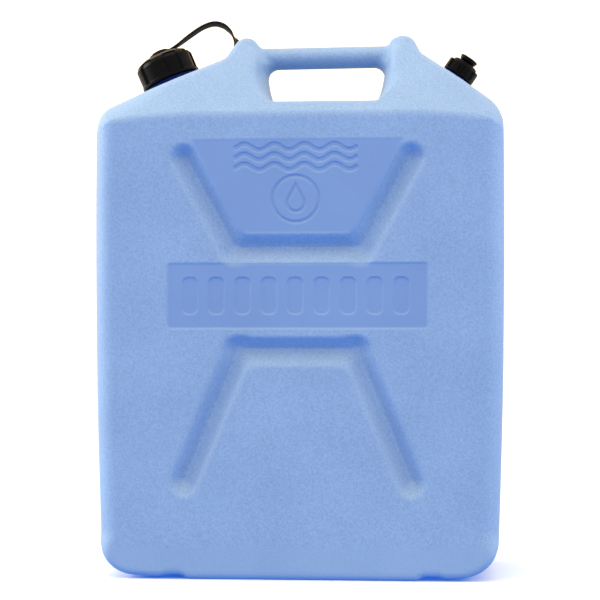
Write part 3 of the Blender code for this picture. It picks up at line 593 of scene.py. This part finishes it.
def fine_detail(x, y, z):
    """Where the can's mesh is made finer: at the marks, the outlines and the insert lines."""
    lines = np.minimum(np.abs(plate_distance(x, z)), np.abs(panel_distance(x, z)))
    lines = np.minimum(lines, insert_line_distance(x, z))
    marks = np.minimum(np.minimum(waves_distance(x, z), badge_distance(x, z)),
                       np.abs(bars_distance(x, z)))
    front = (y < -FINE_Y) & ((lines < FINE_REACH) | (marks < FINE_REACH))
    return front | ((y > FINE_Y) & (lines < BACK_FINE_REACH))


def refine(points, faces, where, levels):
    """Cut the mesh's edges in half where a rule says so, some levels deep."""
    mesh = bpy.data.meshes.new("coarse")
    mesh.from_pydata(points, [], faces)
    bm = bmesh.new()
    bm.from_mesh(mesh)
    bpy.data.meshes.remove(mesh)
    for _ in range(levels):
        spots = np.array([vertex.co[:] for vertex in bm.verts])
        chosen = where(*spots.T)
        edges = [edge for edge in bm.edges
                 if chosen[edge.verts[0].index] or chosen[edge.verts[1].index]]
        bmesh.ops.subdivide_edges(bm, edges=edges, cuts=1, use_grid_fill=True)
        bm.verts.index_update()
        bm.verts.ensure_lookup_table()
    mesh = bpy.data.meshes.new("fine")
    bm.to_mesh(mesh)
    bm.free()
    return mesh


def mesh_points(mesh):
    """Read a mesh's points as one array."""
    flat = np.zeros(len(mesh.vertices) * 3)
    mesh.vertices.foreach_get("co", flat)
    return flat.reshape(-1, 3)


def show(name, mesh, material):
    """Put a finished mesh into the scene as a piece with its material."""
    mesh.name = name
    mesh.materials.append(material)
    piece = bpy.data.objects.new(name, mesh)
    bpy.context.scene.collection.objects.link(piece)
    return piece


def add_attribute(mesh, name, values):
    """Store one number for each of a mesh's points, for its material to read."""
    mesh.attributes.new(name, "FLOAT", "POINT").data.foreach_set("value", values.astype(np.float32))


SMOOTH_AREA_Y = 72.0
SMOOTH_AREA_EASE = 2.4
grid_x = spread(-178.0, 178.0, 3.15)
grid_y = np.concatenate([
    spread(-90.0, -60.0, 3.3), spread(-56.0, -22.0, 4.3), spread(-18.5, -4.5, 3.5),
    [-1.6, -0.55, 0.55, 1.6],
    spread(4.5, 18.5, 3.5), spread(22.0, 56.0, 4.3), spread(60.0, 90.0, 3.3)])
grid_z = spread(-3.0, 475.0, 3.1)
can_points, can_faces = wrap_surface(plain_can, (grid_x, grid_y, grid_z))
can_points = settle(plain_can, can_points, 3)
can_mesh = refine(can_points, can_faces, fine_detail, 2)
can_points = settle(marked_can, mesh_points(can_mesh), 4)
can_mesh.vertices.foreach_set("co", (can_points * MM).ravel())
can_normals = slope_of(marked_can, can_points)
can_normals /= np.linalg.norm(can_normals, axis=1, keepdims=True)
can_mesh.shade_smooth()
can_mesh.normals_split_custom_set_from_vertices(can_normals)
on_face = (np.abs(can_points[:, 1]) > SMOOTH_AREA_Y).astype(float)
plate_and_panel = np.minimum(plate_distance(can_points[:, 0], can_points[:, 2]),
                             panel_distance(can_points[:, 0], can_points[:, 2]))
add_attribute(can_mesh, "smooth_area",
              on_face * smooth_step(SMOOTH_AREA_EASE, -SMOOTH_AREA_EASE, plate_and_panel))
add_attribute(can_mesh, "foot_band", smooth_step(2.0, -2.0, can_points[:, 2] - BAND_TOP_Z))

# Light blue polyethylene, blow-moulded in a sand-blasted mould. It gives the eye a soft, waxy
# sheen broken by a pebble grain, and a deeper, plainer blue where the mould was smooth. The real
# grain is about 0.5 mm; it is drawn at 1.6 mm (620 a metre), as coarse as it needs to show. Faint
# clouds 70 mm across stand for the wall's uneven thickness.
can_plastic, tree, shader = new_material("blow_moulded_polyethylene_light_blue")
coords = add_node(tree, "ShaderNodeTexCoord").outputs["Object"]
smooth_area = add_node(tree, "ShaderNodeAttribute", {"attribute_name": "smooth_area"}).outputs["Fac"]
foot_band = add_node(tree, "ShaderNodeAttribute", {"attribute_name": "foot_band"}).outputs["Fac"]
grain_amount = add_node(tree, "ShaderNodeMath", {"operation": "MULTIPLY_ADD", "use_clamp": True},
                        {1: -0.85, 2: 1.0}, {0: smooth_area})
grain_amount = add_node(tree, "ShaderNodeMath", {"operation": "MULTIPLY_ADD", "use_clamp": True},
                        {1: -0.6}, {0: foot_band, 2: grain_amount.outputs[0]})
pebble = add_node(tree, "ShaderNodeTexNoise", {"noise_dimensions": "3D"},
                  {"Scale": 620.0, "Detail": 2.0, "Roughness": 0.55}, {"Vector": coords})
cloud = add_node(tree, "ShaderNodeTexNoise", {"noise_dimensions": "3D"},
                 {"Scale": 14.0, "Detail": 3.0, "Roughness": 0.5}, {"Vector": coords})
cloud_colour = add_node(tree, "ShaderNodeValToRGB", None, None, {"Fac": cloud.outputs["Fac"]})
for end, place, colour in zip(cloud_colour.color_ramp.elements, (0.3, 0.7), ("#7C9FCB", "#83A6D1")):
    end.position = place
    end.color = (*linear(colour), 1.0)
grain_shade = add_node(tree, "ShaderNodeMapRange", None,
                       {"From Min": 0.3, "From Max": 0.7, "To Min": 0.88, "To Max": 1.12},
                       {"Value": pebble.outputs["Fac"]})
plain_tint = add_node(tree, "ShaderNodeMix", {"data_type": "RGBA", "blend_type": "MULTIPLY"},
                      {7: (0.72, 0.80, 0.95, 1.0)},
                      {0: smooth_area, 6: cloud_colour.outputs["Color"]})
grain_mix = add_node(tree, "ShaderNodeMix", {"data_type": "FLOAT"}, {2: 1.0},
                     {"Factor": grain_amount.outputs[0], 3: grain_shade.outputs["Result"]})
speckled = add_node(tree, "ShaderNodeVectorMath", {"operation": "SCALE"}, None,
                    {0: plain_tint.outputs[2], "Scale": grain_mix.outputs[0]})
tree.links.new(speckled.outputs[0], shader.inputs["Base Color"])
gloss = add_node(tree, "ShaderNodeMapRange", None, {"To Min": 0.46, "To Max": 0.6},
                 {"Value": grain_amount.outputs[0]})
tree.links.new(gloss.outputs["Result"], shader.inputs["Roughness"])
grain_bump = add_node(tree, "ShaderNodeBump", None, {"Distance": 0.00016},
                      {"Height": pebble.outputs["Fac"], "Strength": grain_amount.outputs[0]})
tree.links.new(grain_bump.outputs["Normal"], shader.inputs["Normal"])
shader.inputs["IOR"].default_value = 1.51
shader.inputs["Specular IOR Level"].default_value = 0.4

can_body = show("can_body", can_mesh, can_plastic)
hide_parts("tank_body")
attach(can_body, "root")


# ------------------------------
# Necks. Two short threaded spouts of the same blue polyethylene, blown in one
# with the can: a wide one for filling on the left shoulder, a small one for
# letting air in on the right.
# ------------------------------
FILLER_FOOT = (-119.826, 0.0, 434.964)
BREATHER_FOOT = (135.914, 0.0, 436.361)
FILLER_LEAD = 10.5
BREATHER_LEAD = 6.0


def rounded_line(corners, step, loop):
    """A profile as (radius, height) points: each (radius, height, rounding) corner becomes an arc
    of six points that touches both of its sides, and long runs are cut to about a step."""
    spots = np.array([corner[:2] for corner in corners], float)
    pieces = []
    for i, (_, _, rounding) in enumerate(corners):
        spot = spots[i]
        if rounding <= 0.0:
            pieces.append(spot[None])
            continue
        back = spots[i - 1] - spot
        ahead = spots[(i + 1) % len(spots)] - spot
        back = back / np.linalg.norm(back)
        ahead = ahead / np.linalg.norm(ahead)
        half = 0.5 * math.acos(np.clip(back @ ahead, -1.0, 1.0))
        centre = spot + (back + ahead) / np.linalg.norm(back + ahead) * rounding / math.sin(half)
        start = spot + back * rounding / math.tan(half) - centre
        end = spot + ahead * rounding / math.tan(half) - centre
        turn = math.atan2(start[0] * end[1] - start[1] * end[0], start @ end)
        angle = np.linspace(0.0, turn, 6)
        pieces.append(centre + np.stack([start[0] * np.cos(angle) - start[1] * np.sin(angle),
                                         start[0] * np.sin(angle) + start[1] * np.cos(angle)], -1))
    line = np.concatenate(pieces + [pieces[0][:1]] * loop)
    length = np.linalg.norm(np.diff(line, axis=0), axis=1)
    reach = np.concatenate([[0.0], np.cumsum(length)])
    cuts = [np.linspace(low, high, max(1, int(math.ceil((high - low) / step))), endpoint=False)
            for low, high in zip(reach, reach[1:])]
    places = np.concatenate(cuts + [reach[-1:]] * (not loop))
    return np.stack([np.interp(places, reach, line[:, k]) for k in (0, 1)], -1)


def grid_mesh(points, around, along):
    """Join a grid of points (along, around, 3) in millimetres with four-sided faces, closed round
    its second direction, along its first, or both."""
    rows, columns = points.shape[:2]
    number = np.arange(rows * columns).reshape(rows, columns)
    if around:
        number = np.concatenate([number, number[:, :1]], 1)
    if along:
        number = np.concatenate([number, number[:1]], 0)
    faces = np.stack([number[:-1, :-1], number[:-1, 1:], number[1:, 1:], number[1:, :-1]], -1)
    mesh = bpy.data.meshes.new("surface")
    mesh.from_pydata(points.reshape(-1, 3) * MM, [], faces.reshape(-1, 4))
    return mesh


def close_mesh(meshes):
    """Put surfaces into one mesh, merge the points that meet, and point the faces outwards."""
    bm = bmesh.new()
    for mesh in meshes:
        bm.from_mesh(mesh)
        bpy.data.meshes.remove(mesh)
    bmesh.ops.remove_doubles(bm, verts=bm.verts, dist=1e-7)
    bmesh.ops.recalc_face_normals(bm, faces=bm.faces)
    mesh = bpy.data.meshes.new("surface")
    bm.to_mesh(mesh)
    bm.free()
    mesh.shade_smooth()
    mesh.set_sharp_from_angle(angle=math.radians(38.0))
    return mesh


def lean_over(points, foot, lean):
    """Turn points about Y by a lean and move them to a foot."""
    x, y, z = points[..., 0], points[..., 1], points[..., 2]
    turned = np.stack([x * math.cos(lean) + z * math.sin(lean), y,
                       z * math.cos(lean) - x * math.sin(lean)], -1)
    return turned + np.array(foot)


def turned_surface(line, segments, foot, lean, loop, shape=None):
    """Carry a (radius, height) profile round an axis. A shape may change the radius, given the
    radius, the height and the angle."""
    angle = np.linspace(0.0, 2.0 * math.pi, segments, endpoint=False)[None, :]
    radius = line[:, :1] + 0.0 * angle
    height = line[:, 1:] + 0.0 * angle
    if shape is not None:
        radius = shape(radius, height, angle)
    points = np.stack([radius * np.cos(angle), radius * np.sin(angle), height], -1)
    return grid_mesh(lean_over(points, foot, lean), True, loop)


def thread_ridge(height, angle, lead, starts, shift, low, high):
    """A thread's rounded ridge: 1 on a helix that climbs one lead a turn, 0 between, faded out
    below a low height and above a high one. The shift is in turns."""
    pitch = lead / starts
    turns = (height / lead - angle / (2.0 * math.pi)) * starts + shift
    away = np.abs(turns - np.round(turns)) * pitch
    ends = smooth_step(low, low + 1.6, height) * smooth_step(high, high - 1.6, height)
    return smooth_step(0.26 * pitch, 0.12 * pitch, away) * ends


def filler_neck_shape(radius, height, angle):
    """Add the filler's two-start thread to the outside of its neck."""
    ridge = thread_ridge(height, angle, FILLER_LEAD, 2, 0.0, 2.2, 13.4)
    return radius + 1.1 * ridge * (radius > 19.0)


def breather_neck_shape(radius, height, angle):
    """Add the breather's thread to the outside of its neck."""
    ridge = thread_ridge(height, angle, BREATHER_LEAD, 1, 0.0, 0.6, 6.4)
    return radius + 0.85 * ridge * (radius > 8.0)


filler_neck_line = rounded_line([(17.5, -11.0, 0.0), (21.7, -11.0, 0.0), (21.7, -1.0, 0.4),
                                 (20.2, -1.0, 0.3), (20.2, 15.0, 0.9), (17.5, 15.0, 0.9)], 0.5, True)
filler_neck = show("filler_neck", close_mesh([turned_surface(
    filler_neck_line, 180, FILLER_FOOT, -LEFT_LEAN, True, filler_neck_shape)]), can_plastic)
breather_neck_line = rounded_line([(6.0, -9.3, 0.0), (10.0, -9.3, 0.0), (10.0, -1.0, 0.3),
                                   (8.6, -1.0, 0.3), (8.6, 7.0, 0.6), (6.0, 7.0, 0.6)], 0.4, True)
breather_neck = show("breather_neck", close_mesh([turned_surface(
    breather_neck_line, 120, BREATHER_FOOT, RIGHT_LEAN, True, breather_neck_shape)]), can_plastic)
for neck in (filler_neck, breather_neck):
    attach(neck, "root")


# ------------------------------
# Neck rings. A navy polyethylene collar is pressed over the foot of each neck
# and fills the gap between the shoulder and the cap's skirt.
# ------------------------------
def mottled_material(name, scale, dark, light, relief_height):
    """Start a material whose colour and fine relief both follow one soft noise."""
    material, tree, shader = new_material(name)
    coords = add_node(tree, "ShaderNodeTexCoord").outputs["Object"]
    mottle = add_node(tree, "ShaderNodeTexNoise", None, {"Scale": scale, "Detail": 3.0},
                      {"Vector": coords})
    shade = add_node(tree, "ShaderNodeValToRGB", None, None, {"Fac": mottle.outputs["Fac"]})
    for end, colour in zip(shade.color_ramp.elements, (dark, light)):
        end.color = (*linear(colour), 1.0)
    tree.links.new(shade.outputs["Color"], shader.inputs["Base Color"])
    relief = add_node(tree, "ShaderNodeBump", None, {"Distance": relief_height, "Strength": 0.6},
                      {"Height": mottle.outputs["Fac"]})
    tree.links.new(relief.outputs["Normal"], shader.inputs["Normal"])
    return material, shader


# Navy polyethylene, injection moulded: a dark, even blue with a dull sheen, clouded by flow marks
# about 6 mm across.
ring_plastic, shader = mottled_material("moulded_polyethylene_navy", 180.0,
                                        "#04103F", "#071B63", 0.00006)
shader.inputs["Roughness"].default_value = 0.42
shader.inputs["IOR"].default_value = 1.51
shader.inputs["Specular IOR Level"].default_value = 0.08
shader.inputs["Specular Tint"].default_value = (0.5, 0.7, 1.0, 1.0)

filler_ring_line = rounded_line([(22.0, -9.2, 0.3), (24.5, -9.2, 0.3), (24.5, -0.3, 0.8),
                                 (22.0, -0.3, 0.4)], 0.8, True)
filler_ring = show("filler_neck_ring_detailed", close_mesh([turned_surface(
    filler_ring_line, 128, FILLER_FOOT, -LEFT_LEAN, True)]), ring_plastic)
breather_ring_line = rounded_line([(10.3, -6.0, 0.3), (13.6, -6.0, 0.3), (13.6, -0.3, 0.7),
                                   (10.3, -0.3, 0.4)], 0.8, True)
breather_ring = show("breather_neck_ring_detailed", close_mesh([turned_surface(
    breather_ring_line, 96, BREATHER_FOOT, RIGHT_LEAN, True)]), ring_plastic)
for ring, node in ((filler_ring, "filler_neck_ring"), (breather_ring, "breather_neck_ring")):
    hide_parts(node)
    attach(ring, "root")


# ------------------------------
# Filler cap. A black polypropylene screw cap, injection moulded: six broad
# raised grips between six recesses, a flared rim, a domed top with a socket
# for the strap's button, and the thread inside.
# ------------------------------
CAP_BORE = 21.9
GRIP_CENTRE = math.radians(-96.5)


def grips(angle, count, centre, width, edge):
    """1 on each of a number of evenly spaced raised grips and 0 between, with eased edges.
    The angles are in radians, the width and the edge in degrees."""
    share = 2.0 * math.pi / count
    away = np.abs((angle - centre + share / 2.0) % share - share / 2.0)
    half = math.radians(width) / 2.0
    return smooth_step(half + math.radians(edge), half - math.radians(edge), away)


def filler_cap_shape(radius, height, angle):
    """Sink the recesses between the grips into the wall, and add the thread inside."""
    outer = smooth_step(22.3, 23.6, radius) * smooth_step(2.2, 3.4, height)
    sunk = 2.1 * (1.0 - grips(angle, 6, GRIP_CENTRE, 30.0, 0.9)) * outer
    ridge = thread_ridge(height, angle, FILLER_LEAD, 2, 0.5, 2.6, 14.0)
    inside = (np.abs(radius - CAP_BORE) < 0.05) & (height < 17.0)
    return radius - sunk - 1.2 * ridge * inside


# Black polypropylene, injection moulded: nearly black, with a quiet gloss that handling has
# clouded in patches about 11 mm across, over a mould grain of about 1 mm.
cap_plastic, tree, shader = new_material("moulded_polypropylene_black")
coords = add_node(tree, "ShaderNodeTexCoord").outputs["Object"]
bloom = add_node(tree, "ShaderNodeTexNoise", None, {"Scale": 90.0, "Detail": 4.0},
                 {"Vector": coords})
shade = add_node(tree, "ShaderNodeValToRGB", None, None, {"Fac": bloom.outputs["Fac"]})
for end, place, colour in zip(shade.color_ramp.elements, (0.35, 0.75), ("#040405", "#09090B")):
    end.position = place
    end.color = (*linear(colour), 1.0)
tree.links.new(shade.outputs["Color"], shader.inputs["Base Color"])
sheen = add_node(tree, "ShaderNodeMapRange", None, {"To Min": 0.24, "To Max": 0.42},
                 {"Value": bloom.outputs["Fac"]})
tree.links.new(sheen.outputs["Result"], shader.inputs["Roughness"])
fine_grain = add_node(tree, "ShaderNodeTexNoise", None, {"Scale": 900.0, "Detail": 2.0},
                      {"Vector": coords})
cap_bump = add_node(tree, "ShaderNodeBump", None, {"Distance": 0.00005, "Strength": 0.7},
                    {"Height": fine_grain.outputs["Fac"]})
tree.links.new(cap_bump.outputs["Normal"], shader.inputs["Normal"])
shader.inputs["IOR"].default_value = 1.49
shader.inputs["Specular IOR Level"].default_value = 0.075
shader.inputs["Specular Tint"].default_value = (0.7, 0.8, 1.0, 1.0)

filler_cap_line = rounded_line([
    (0.0, 21.3, 0.0), (4.9, 21.3, 0.0), (4.9, 25.3, 0.4), (10.5, 25.3, 2.5), (18.2, 23.9, 4.0),
    (23.9, 21.1, 3.0), (26.1, 17.6, 2.4), (26.1, 3.6, 1.0), (26.6, 2.2, 0.5), (26.6, 0.0, 0.4),
    (CAP_BORE, 0.0, 0.4), (CAP_BORE, 17.5, 0.4), (0.0, 17.5, 0.0)], 0.5, False)
filler_cap = show("filler_cap_detailed", close_mesh([turned_surface(
    filler_cap_line, 300, FILLER_FOOT, -LEFT_LEAN, False, filler_cap_shape)]), cap_plastic)
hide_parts("filler_cap")
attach(filler_cap, "filler_cap")


# ------------------------------
# Strap button and anchor stud. Two small black rivets, pressed into the cap
# and into the back of the left bump, each holding one eye of the strap.
# ------------------------------
ANCHOR_X = -56.0
ANCHOR_Z = 451.5
ANCHOR_Y = HALF_DEPTH - ROOF_SLOPE * (ANCHOR_Z - BEND_Z)


def at_anchor(points):
    """Stand points, made about the Z axis, square on the back slope of the left bump."""
    x, y, z = points[..., 0], points[..., 1], points[..., 2]
    size = math.hypot(1.0, ROOF_SLOPE)
    level, steep = ROOF_SLOPE / size, 1.0 / size
    turned = np.stack([x, y * level + z * steep, z * level - y * steep], -1)
    return turned + np.array([ANCHOR_X, ANCHOR_Y, ANCHOR_Z])


def anchor_surface(line, segments, loop):
    """Carry a (radius, height) profile round the stud's axis."""
    angle = np.linspace(0.0, 2.0 * math.pi, segments, endpoint=False)[None, :]
    points = np.stack([line[:, :1] * np.cos(angle), line[:, :1] * np.sin(angle),
                       line[:, 1:] + 0.0 * angle], -1)
    return grid_mesh(at_anchor(points), True, loop)


button_line = rounded_line([(0.0, 21.6, 0.0), (4.6, 21.6, 0.3), (4.6, 27.7, 0.2), (7.4, 27.7, 0.3),
                            (7.2, 28.7, 0.5), (4.6, 29.3, 1.0), (0.0, 29.4, 0.0)], 0.6, False)
button = show("strap_button_detailed", close_mesh([turned_surface(
    button_line, 96, FILLER_FOOT, -LEFT_LEAN, False)]), cap_plastic)
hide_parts("strap_button")
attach(button, "filler_cap")
stud_line = rounded_line([(0.0, -1.7, 0.0), (3.0, -1.7, 0.3), (3.0, 2.4, 0.2), (5.0, 2.4, 0.3),
                          (4.9, 3.2, 0.4), (3.2, 3.9, 0.7), (0.0, 4.0, 0.0)], 0.5, False)
stud = show("strap_stud_detailed", close_mesh([anchor_surface(stud_line, 64, False)]), cap_plastic)
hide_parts("strap_anchor_stud")
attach(stud, "root")


# ------------------------------
# Cap strap. One flexible black polyethylene moulding: a flat band with an eye
# at each end. It lies under the button on the cap, arches up, turns a quarter
# turn and comes down to the stud behind the left bump.
# ------------------------------
STRAP_WIDTH = 7.5
STRAP_THICKNESS = 1.8
STRAP_TURN = (0.62, 0.97)
STRAP_ROLL = 0.42
strap_axis = np.array([-math.sin(LEFT_LEAN), 0.0, math.cos(LEFT_LEAN)])
strap_uphill = np.array([math.cos(LEFT_LEAN), 0.0, math.sin(LEFT_LEAN)])
strap_eye = np.array(FILLER_FOOT) + strap_axis * 26.5
strap_foot = at_anchor(np.array([0.0, 0.0, 1.2]))
down_slope = np.array([0.0, ROOF_SLOPE, -1.0]) / math.hypot(1.0, ROOF_SLOPE)
strap_route = np.array([
    strap_eye + strap_uphill * 7.1, strap_eye + strap_uphill * 10.0,
    [-113.5, 0.2, 467.8], [-103.4, 1.2, 475.6], [-92.5, 3.6, 483.3], [-83.0, 7.4, 487.2],
    [-75.2, 12.0, 486.3], [-69.6, 17.0, 482.0], [-65.4, 22.4, 475.0], [-62.0, 27.8, 468.6],
    strap_foot - down_slope * 10.5, strap_foot - down_slope * 5.0])


def smooth_route(route, steps):
    """Pass a Catmull-Rom curve through points: each span is a cubic of its four nearest points."""
    padded = np.concatenate([[2.0 * route[0] - route[1]], route, [2.0 * route[-1] - route[-2]]])
    t = np.linspace(0.0, 1.0, steps, endpoint=False)[None, :, None]
    a, b, c, d = [padded[k:len(padded) - 3 + k][:, None, :] for k in range(4)]
    curve = 0.5 * (2.0 * b + (c - a) * t + (2.0 * a - 5.0 * b + 4.0 * c - d) * t ** 2
                   + (3.0 * b - a - 3.0 * c + d) * t ** 3)
    return np.concatenate([curve.reshape(-1, 3), route[-1:]])


def strap_band(line, around):
    """Carry a flat oblong section with rounded sides along a line. Its width turns from across the
    can to along it, over the middle of the line, and the section closes to a point at each end."""
    count = len(line)
    along = np.gradient(line, axis=0)
    along /= np.linalg.norm(along, axis=1, keepdims=True)
    share = np.arange(count) / (count - 1)
    ease = smooth_step(*STRAP_TURN, share) * math.pi / 2.0
    roll = STRAP_ROLL * smooth_step(0.08, 0.3, share) * smooth_step(0.95, 0.6, share)
    wide = np.stack([np.sin(ease), np.cos(ease), -roll], -1)
    wide -= along * (wide * along).sum(1, keepdims=True)
    wide /= np.linalg.norm(wide, axis=1, keepdims=True)
    thick = np.cross(along, wide)
    angle = np.linspace(0.0, 2.0 * math.pi, around, endpoint=False)
    flat = np.sign(np.cos(angle)) * np.abs(np.cos(angle)) ** 0.35 * STRAP_WIDTH / 2.0
    rise = np.sign(np.sin(angle)) * np.abs(np.sin(angle)) ** 0.55 * (STRAP_THICKNESS - 0.1) / 2.0
    band = (line[:, None] + wide[:, None] * flat[None, :, None]
            + thick[:, None] * rise[None, :, None])
    first = np.repeat(line[:1][:, None], around, 1)
    last = np.repeat(line[-1:][:, None], around, 1)
    return grid_mesh(np.concatenate([first, band, last]), True, False)


# Soft black polyethylene, injection moulded: a shade lighter and duller than the caps, with flow
# marks about 4 mm across.
strap_plastic, shader = mottled_material("flexible_moulded_polyethylene_black", 240.0,
                                         "#070708", "#101012", 0.00006)
shader.inputs["Roughness"].default_value = 0.45
shader.inputs["Specular IOR Level"].default_value = 0.12
shader.inputs["Specular Tint"].default_value = (0.62, 0.76, 1.0, 1.0)

strap_line = smooth_route(strap_route, 10)
eye_line = rounded_line([(4.9, 25.6, 0.3), (10.0, 25.6, 0.6),
                         (10.0, 27.4, 0.6), (4.9, 27.4, 0.3)], 0.7, True)
foot_eye_line = rounded_line([(3.3, 0.3, 0.3), (7.0, 0.3, 0.6),
                              (7.0, 2.1, 0.6), (3.3, 2.1, 0.3)], 0.7, True)
strap = show("cap_strap_detailed", close_mesh([
    strap_band(strap_line, 28), turned_surface(eye_line, 96, FILLER_FOOT, -LEFT_LEAN, True),
    anchor_surface(foot_eye_line, 64, True)]), strap_plastic)
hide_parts("cap_strap")
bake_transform(strap)


# ------------------------------
# Breather cap. A small black polypropylene screw cap: eight lugs round its
# wall, a stepped dome, and a sleeve down its middle that guides the knob.
# ------------------------------
BREATHER_CAP_BORE = 10.0
LUG_CENTRE = math.radians(-114.0)


def breather_cap_shape(radius, height, angle):
    """Sink the spaces between the lugs into the wall, and add the thread inside."""
    outer = smooth_step(11.7, 12.6, radius) * smooth_step(1.7, 2.3, height)
    sunk = 1.7 * (1.0 - grips(angle, 8, LUG_CENTRE, 28.0, 2.2)) * outer
    ridge = thread_ridge(height, angle, BREATHER_LEAD, 1, 0.5, 0.6, 7.6)
    inside = (np.abs(radius - BREATHER_CAP_BORE) < 0.05) & (height < 8.8)
    return radius - sunk - 0.9 * ridge * inside


breather_cap_line = rounded_line([
    (BREATHER_CAP_BORE, 0.0, 0.2), (14.6, 0.0, 0.3), (14.6, 1.9, 0.3), (14.5, 10.5, 0.6),
    (11.7, 10.7, 0.4), (11.2, 12.6, 0.9), (9.4, 13.6, 0.8), (7.6, 14.0, 0.5), (3.3, 14.0, 0.3),
    (3.3, 11.0, 0.2),
    (4.7, 11.0, 0.2), (4.7, -1.0, 0.2), (5.6, -1.0, 0.2), (5.6, 9.0, 0.2),
    (BREATHER_CAP_BORE, 9.0, 0.2)], 0.4, True)
breather_cap = show("breather_cap_detailed", close_mesh([turned_surface(
    breather_cap_line, 256, BREATHER_FOOT, RIGHT_LEAN, True, breather_cap_shape)]), cap_plastic)
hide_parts("breather_cap")
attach(breather_cap, "breather_cap")


# ------------------------------
# Breather knob. A black polypropylene disc on a stem that is pulled up to let
# air in: the grooved piston at its foot carries a round seal inside the sleeve.
# ------------------------------
knob_line = rounded_line([
    (0.0, 0.4, 0.0), (4.2, 0.4, 0.3), (4.2, 1.7, 0.1), (2.8, 1.7, 0.1), (2.8, 3.9, 0.1),
    (4.2, 3.9, 0.1), (4.2, 5.0, 0.3), (3.0, 5.0, 0.2), (3.0, 14.4, 0.2), (6.2, 14.4, 0.3),
    (7.4, 15.4, 0.5),
    (8.3, 18.3, 0.4), (7.6, 18.8, 0.4), (4.0, 18.5, 0.8), (0.0, 18.5, 0.0)], 0.4, False)
knob = show("breather_knob_detailed", close_mesh([turned_surface(
    knob_line, 128, BREATHER_FOOT, RIGHT_LEAN, False)]), cap_plastic)
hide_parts("breather_knob")
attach(knob, "breather_knob")


# ------------------------------
# Seals. Grey rubber: a flat washer under each cap's ceiling and a round ring
# in the knob's groove. Each is pressed in and turns or rises with its cap.
# ------------------------------
# Grey nitrile rubber, compression moulded: dull, dusty and without gloss, in specks of 2 mm.
seal_rubber, shader = mottled_material("moulded_rubber_grey", 500.0, "#2E2F31", "#444548", 0.00004)
shader.inputs["Roughness"].default_value = 0.75
shader.inputs["Specular IOR Level"].default_value = 0.3

filler_seal_line = rounded_line([(14.0, 15.3, 0.3), (20.3, 15.3, 0.3), (20.3, 17.2, 0.3),
                                 (14.0, 17.2, 0.3)], 0.7, True)
breather_seal_line = rounded_line([(5.9, 7.3, 0.25), (9.6, 7.3, 0.25), (9.6, 8.7, 0.25),
                                   (5.9, 8.7, 0.25)], 0.5, True)
knob_seal_angle = np.linspace(0.0, 2.0 * math.pi, 20, endpoint=False)
knob_seal_line = np.stack([3.75 + 0.65 * np.cos(knob_seal_angle),
                           2.8 + 0.65 * np.sin(knob_seal_angle)], -1)
for name, line, foot, lean, node, body in (
        ("filler_seal_detailed", filler_seal_line, FILLER_FOOT, -LEFT_LEAN,
         "filler_cap_seal", "filler_cap"),
        ("breather_seal_detailed", breather_seal_line, BREATHER_FOOT, RIGHT_LEAN,
         "breather_cap_seal", "breather_cap_carrier"),
        ("knob_seal_detailed", knob_seal_line, BREATHER_FOOT, RIGHT_LEAN, "breather_knob_seal",
         "breather_knob")):
    seal = show(name, close_mesh([turned_surface(line, 96, foot, lean, True)]), seal_rubber)
    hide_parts(node)
    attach(seal, body)
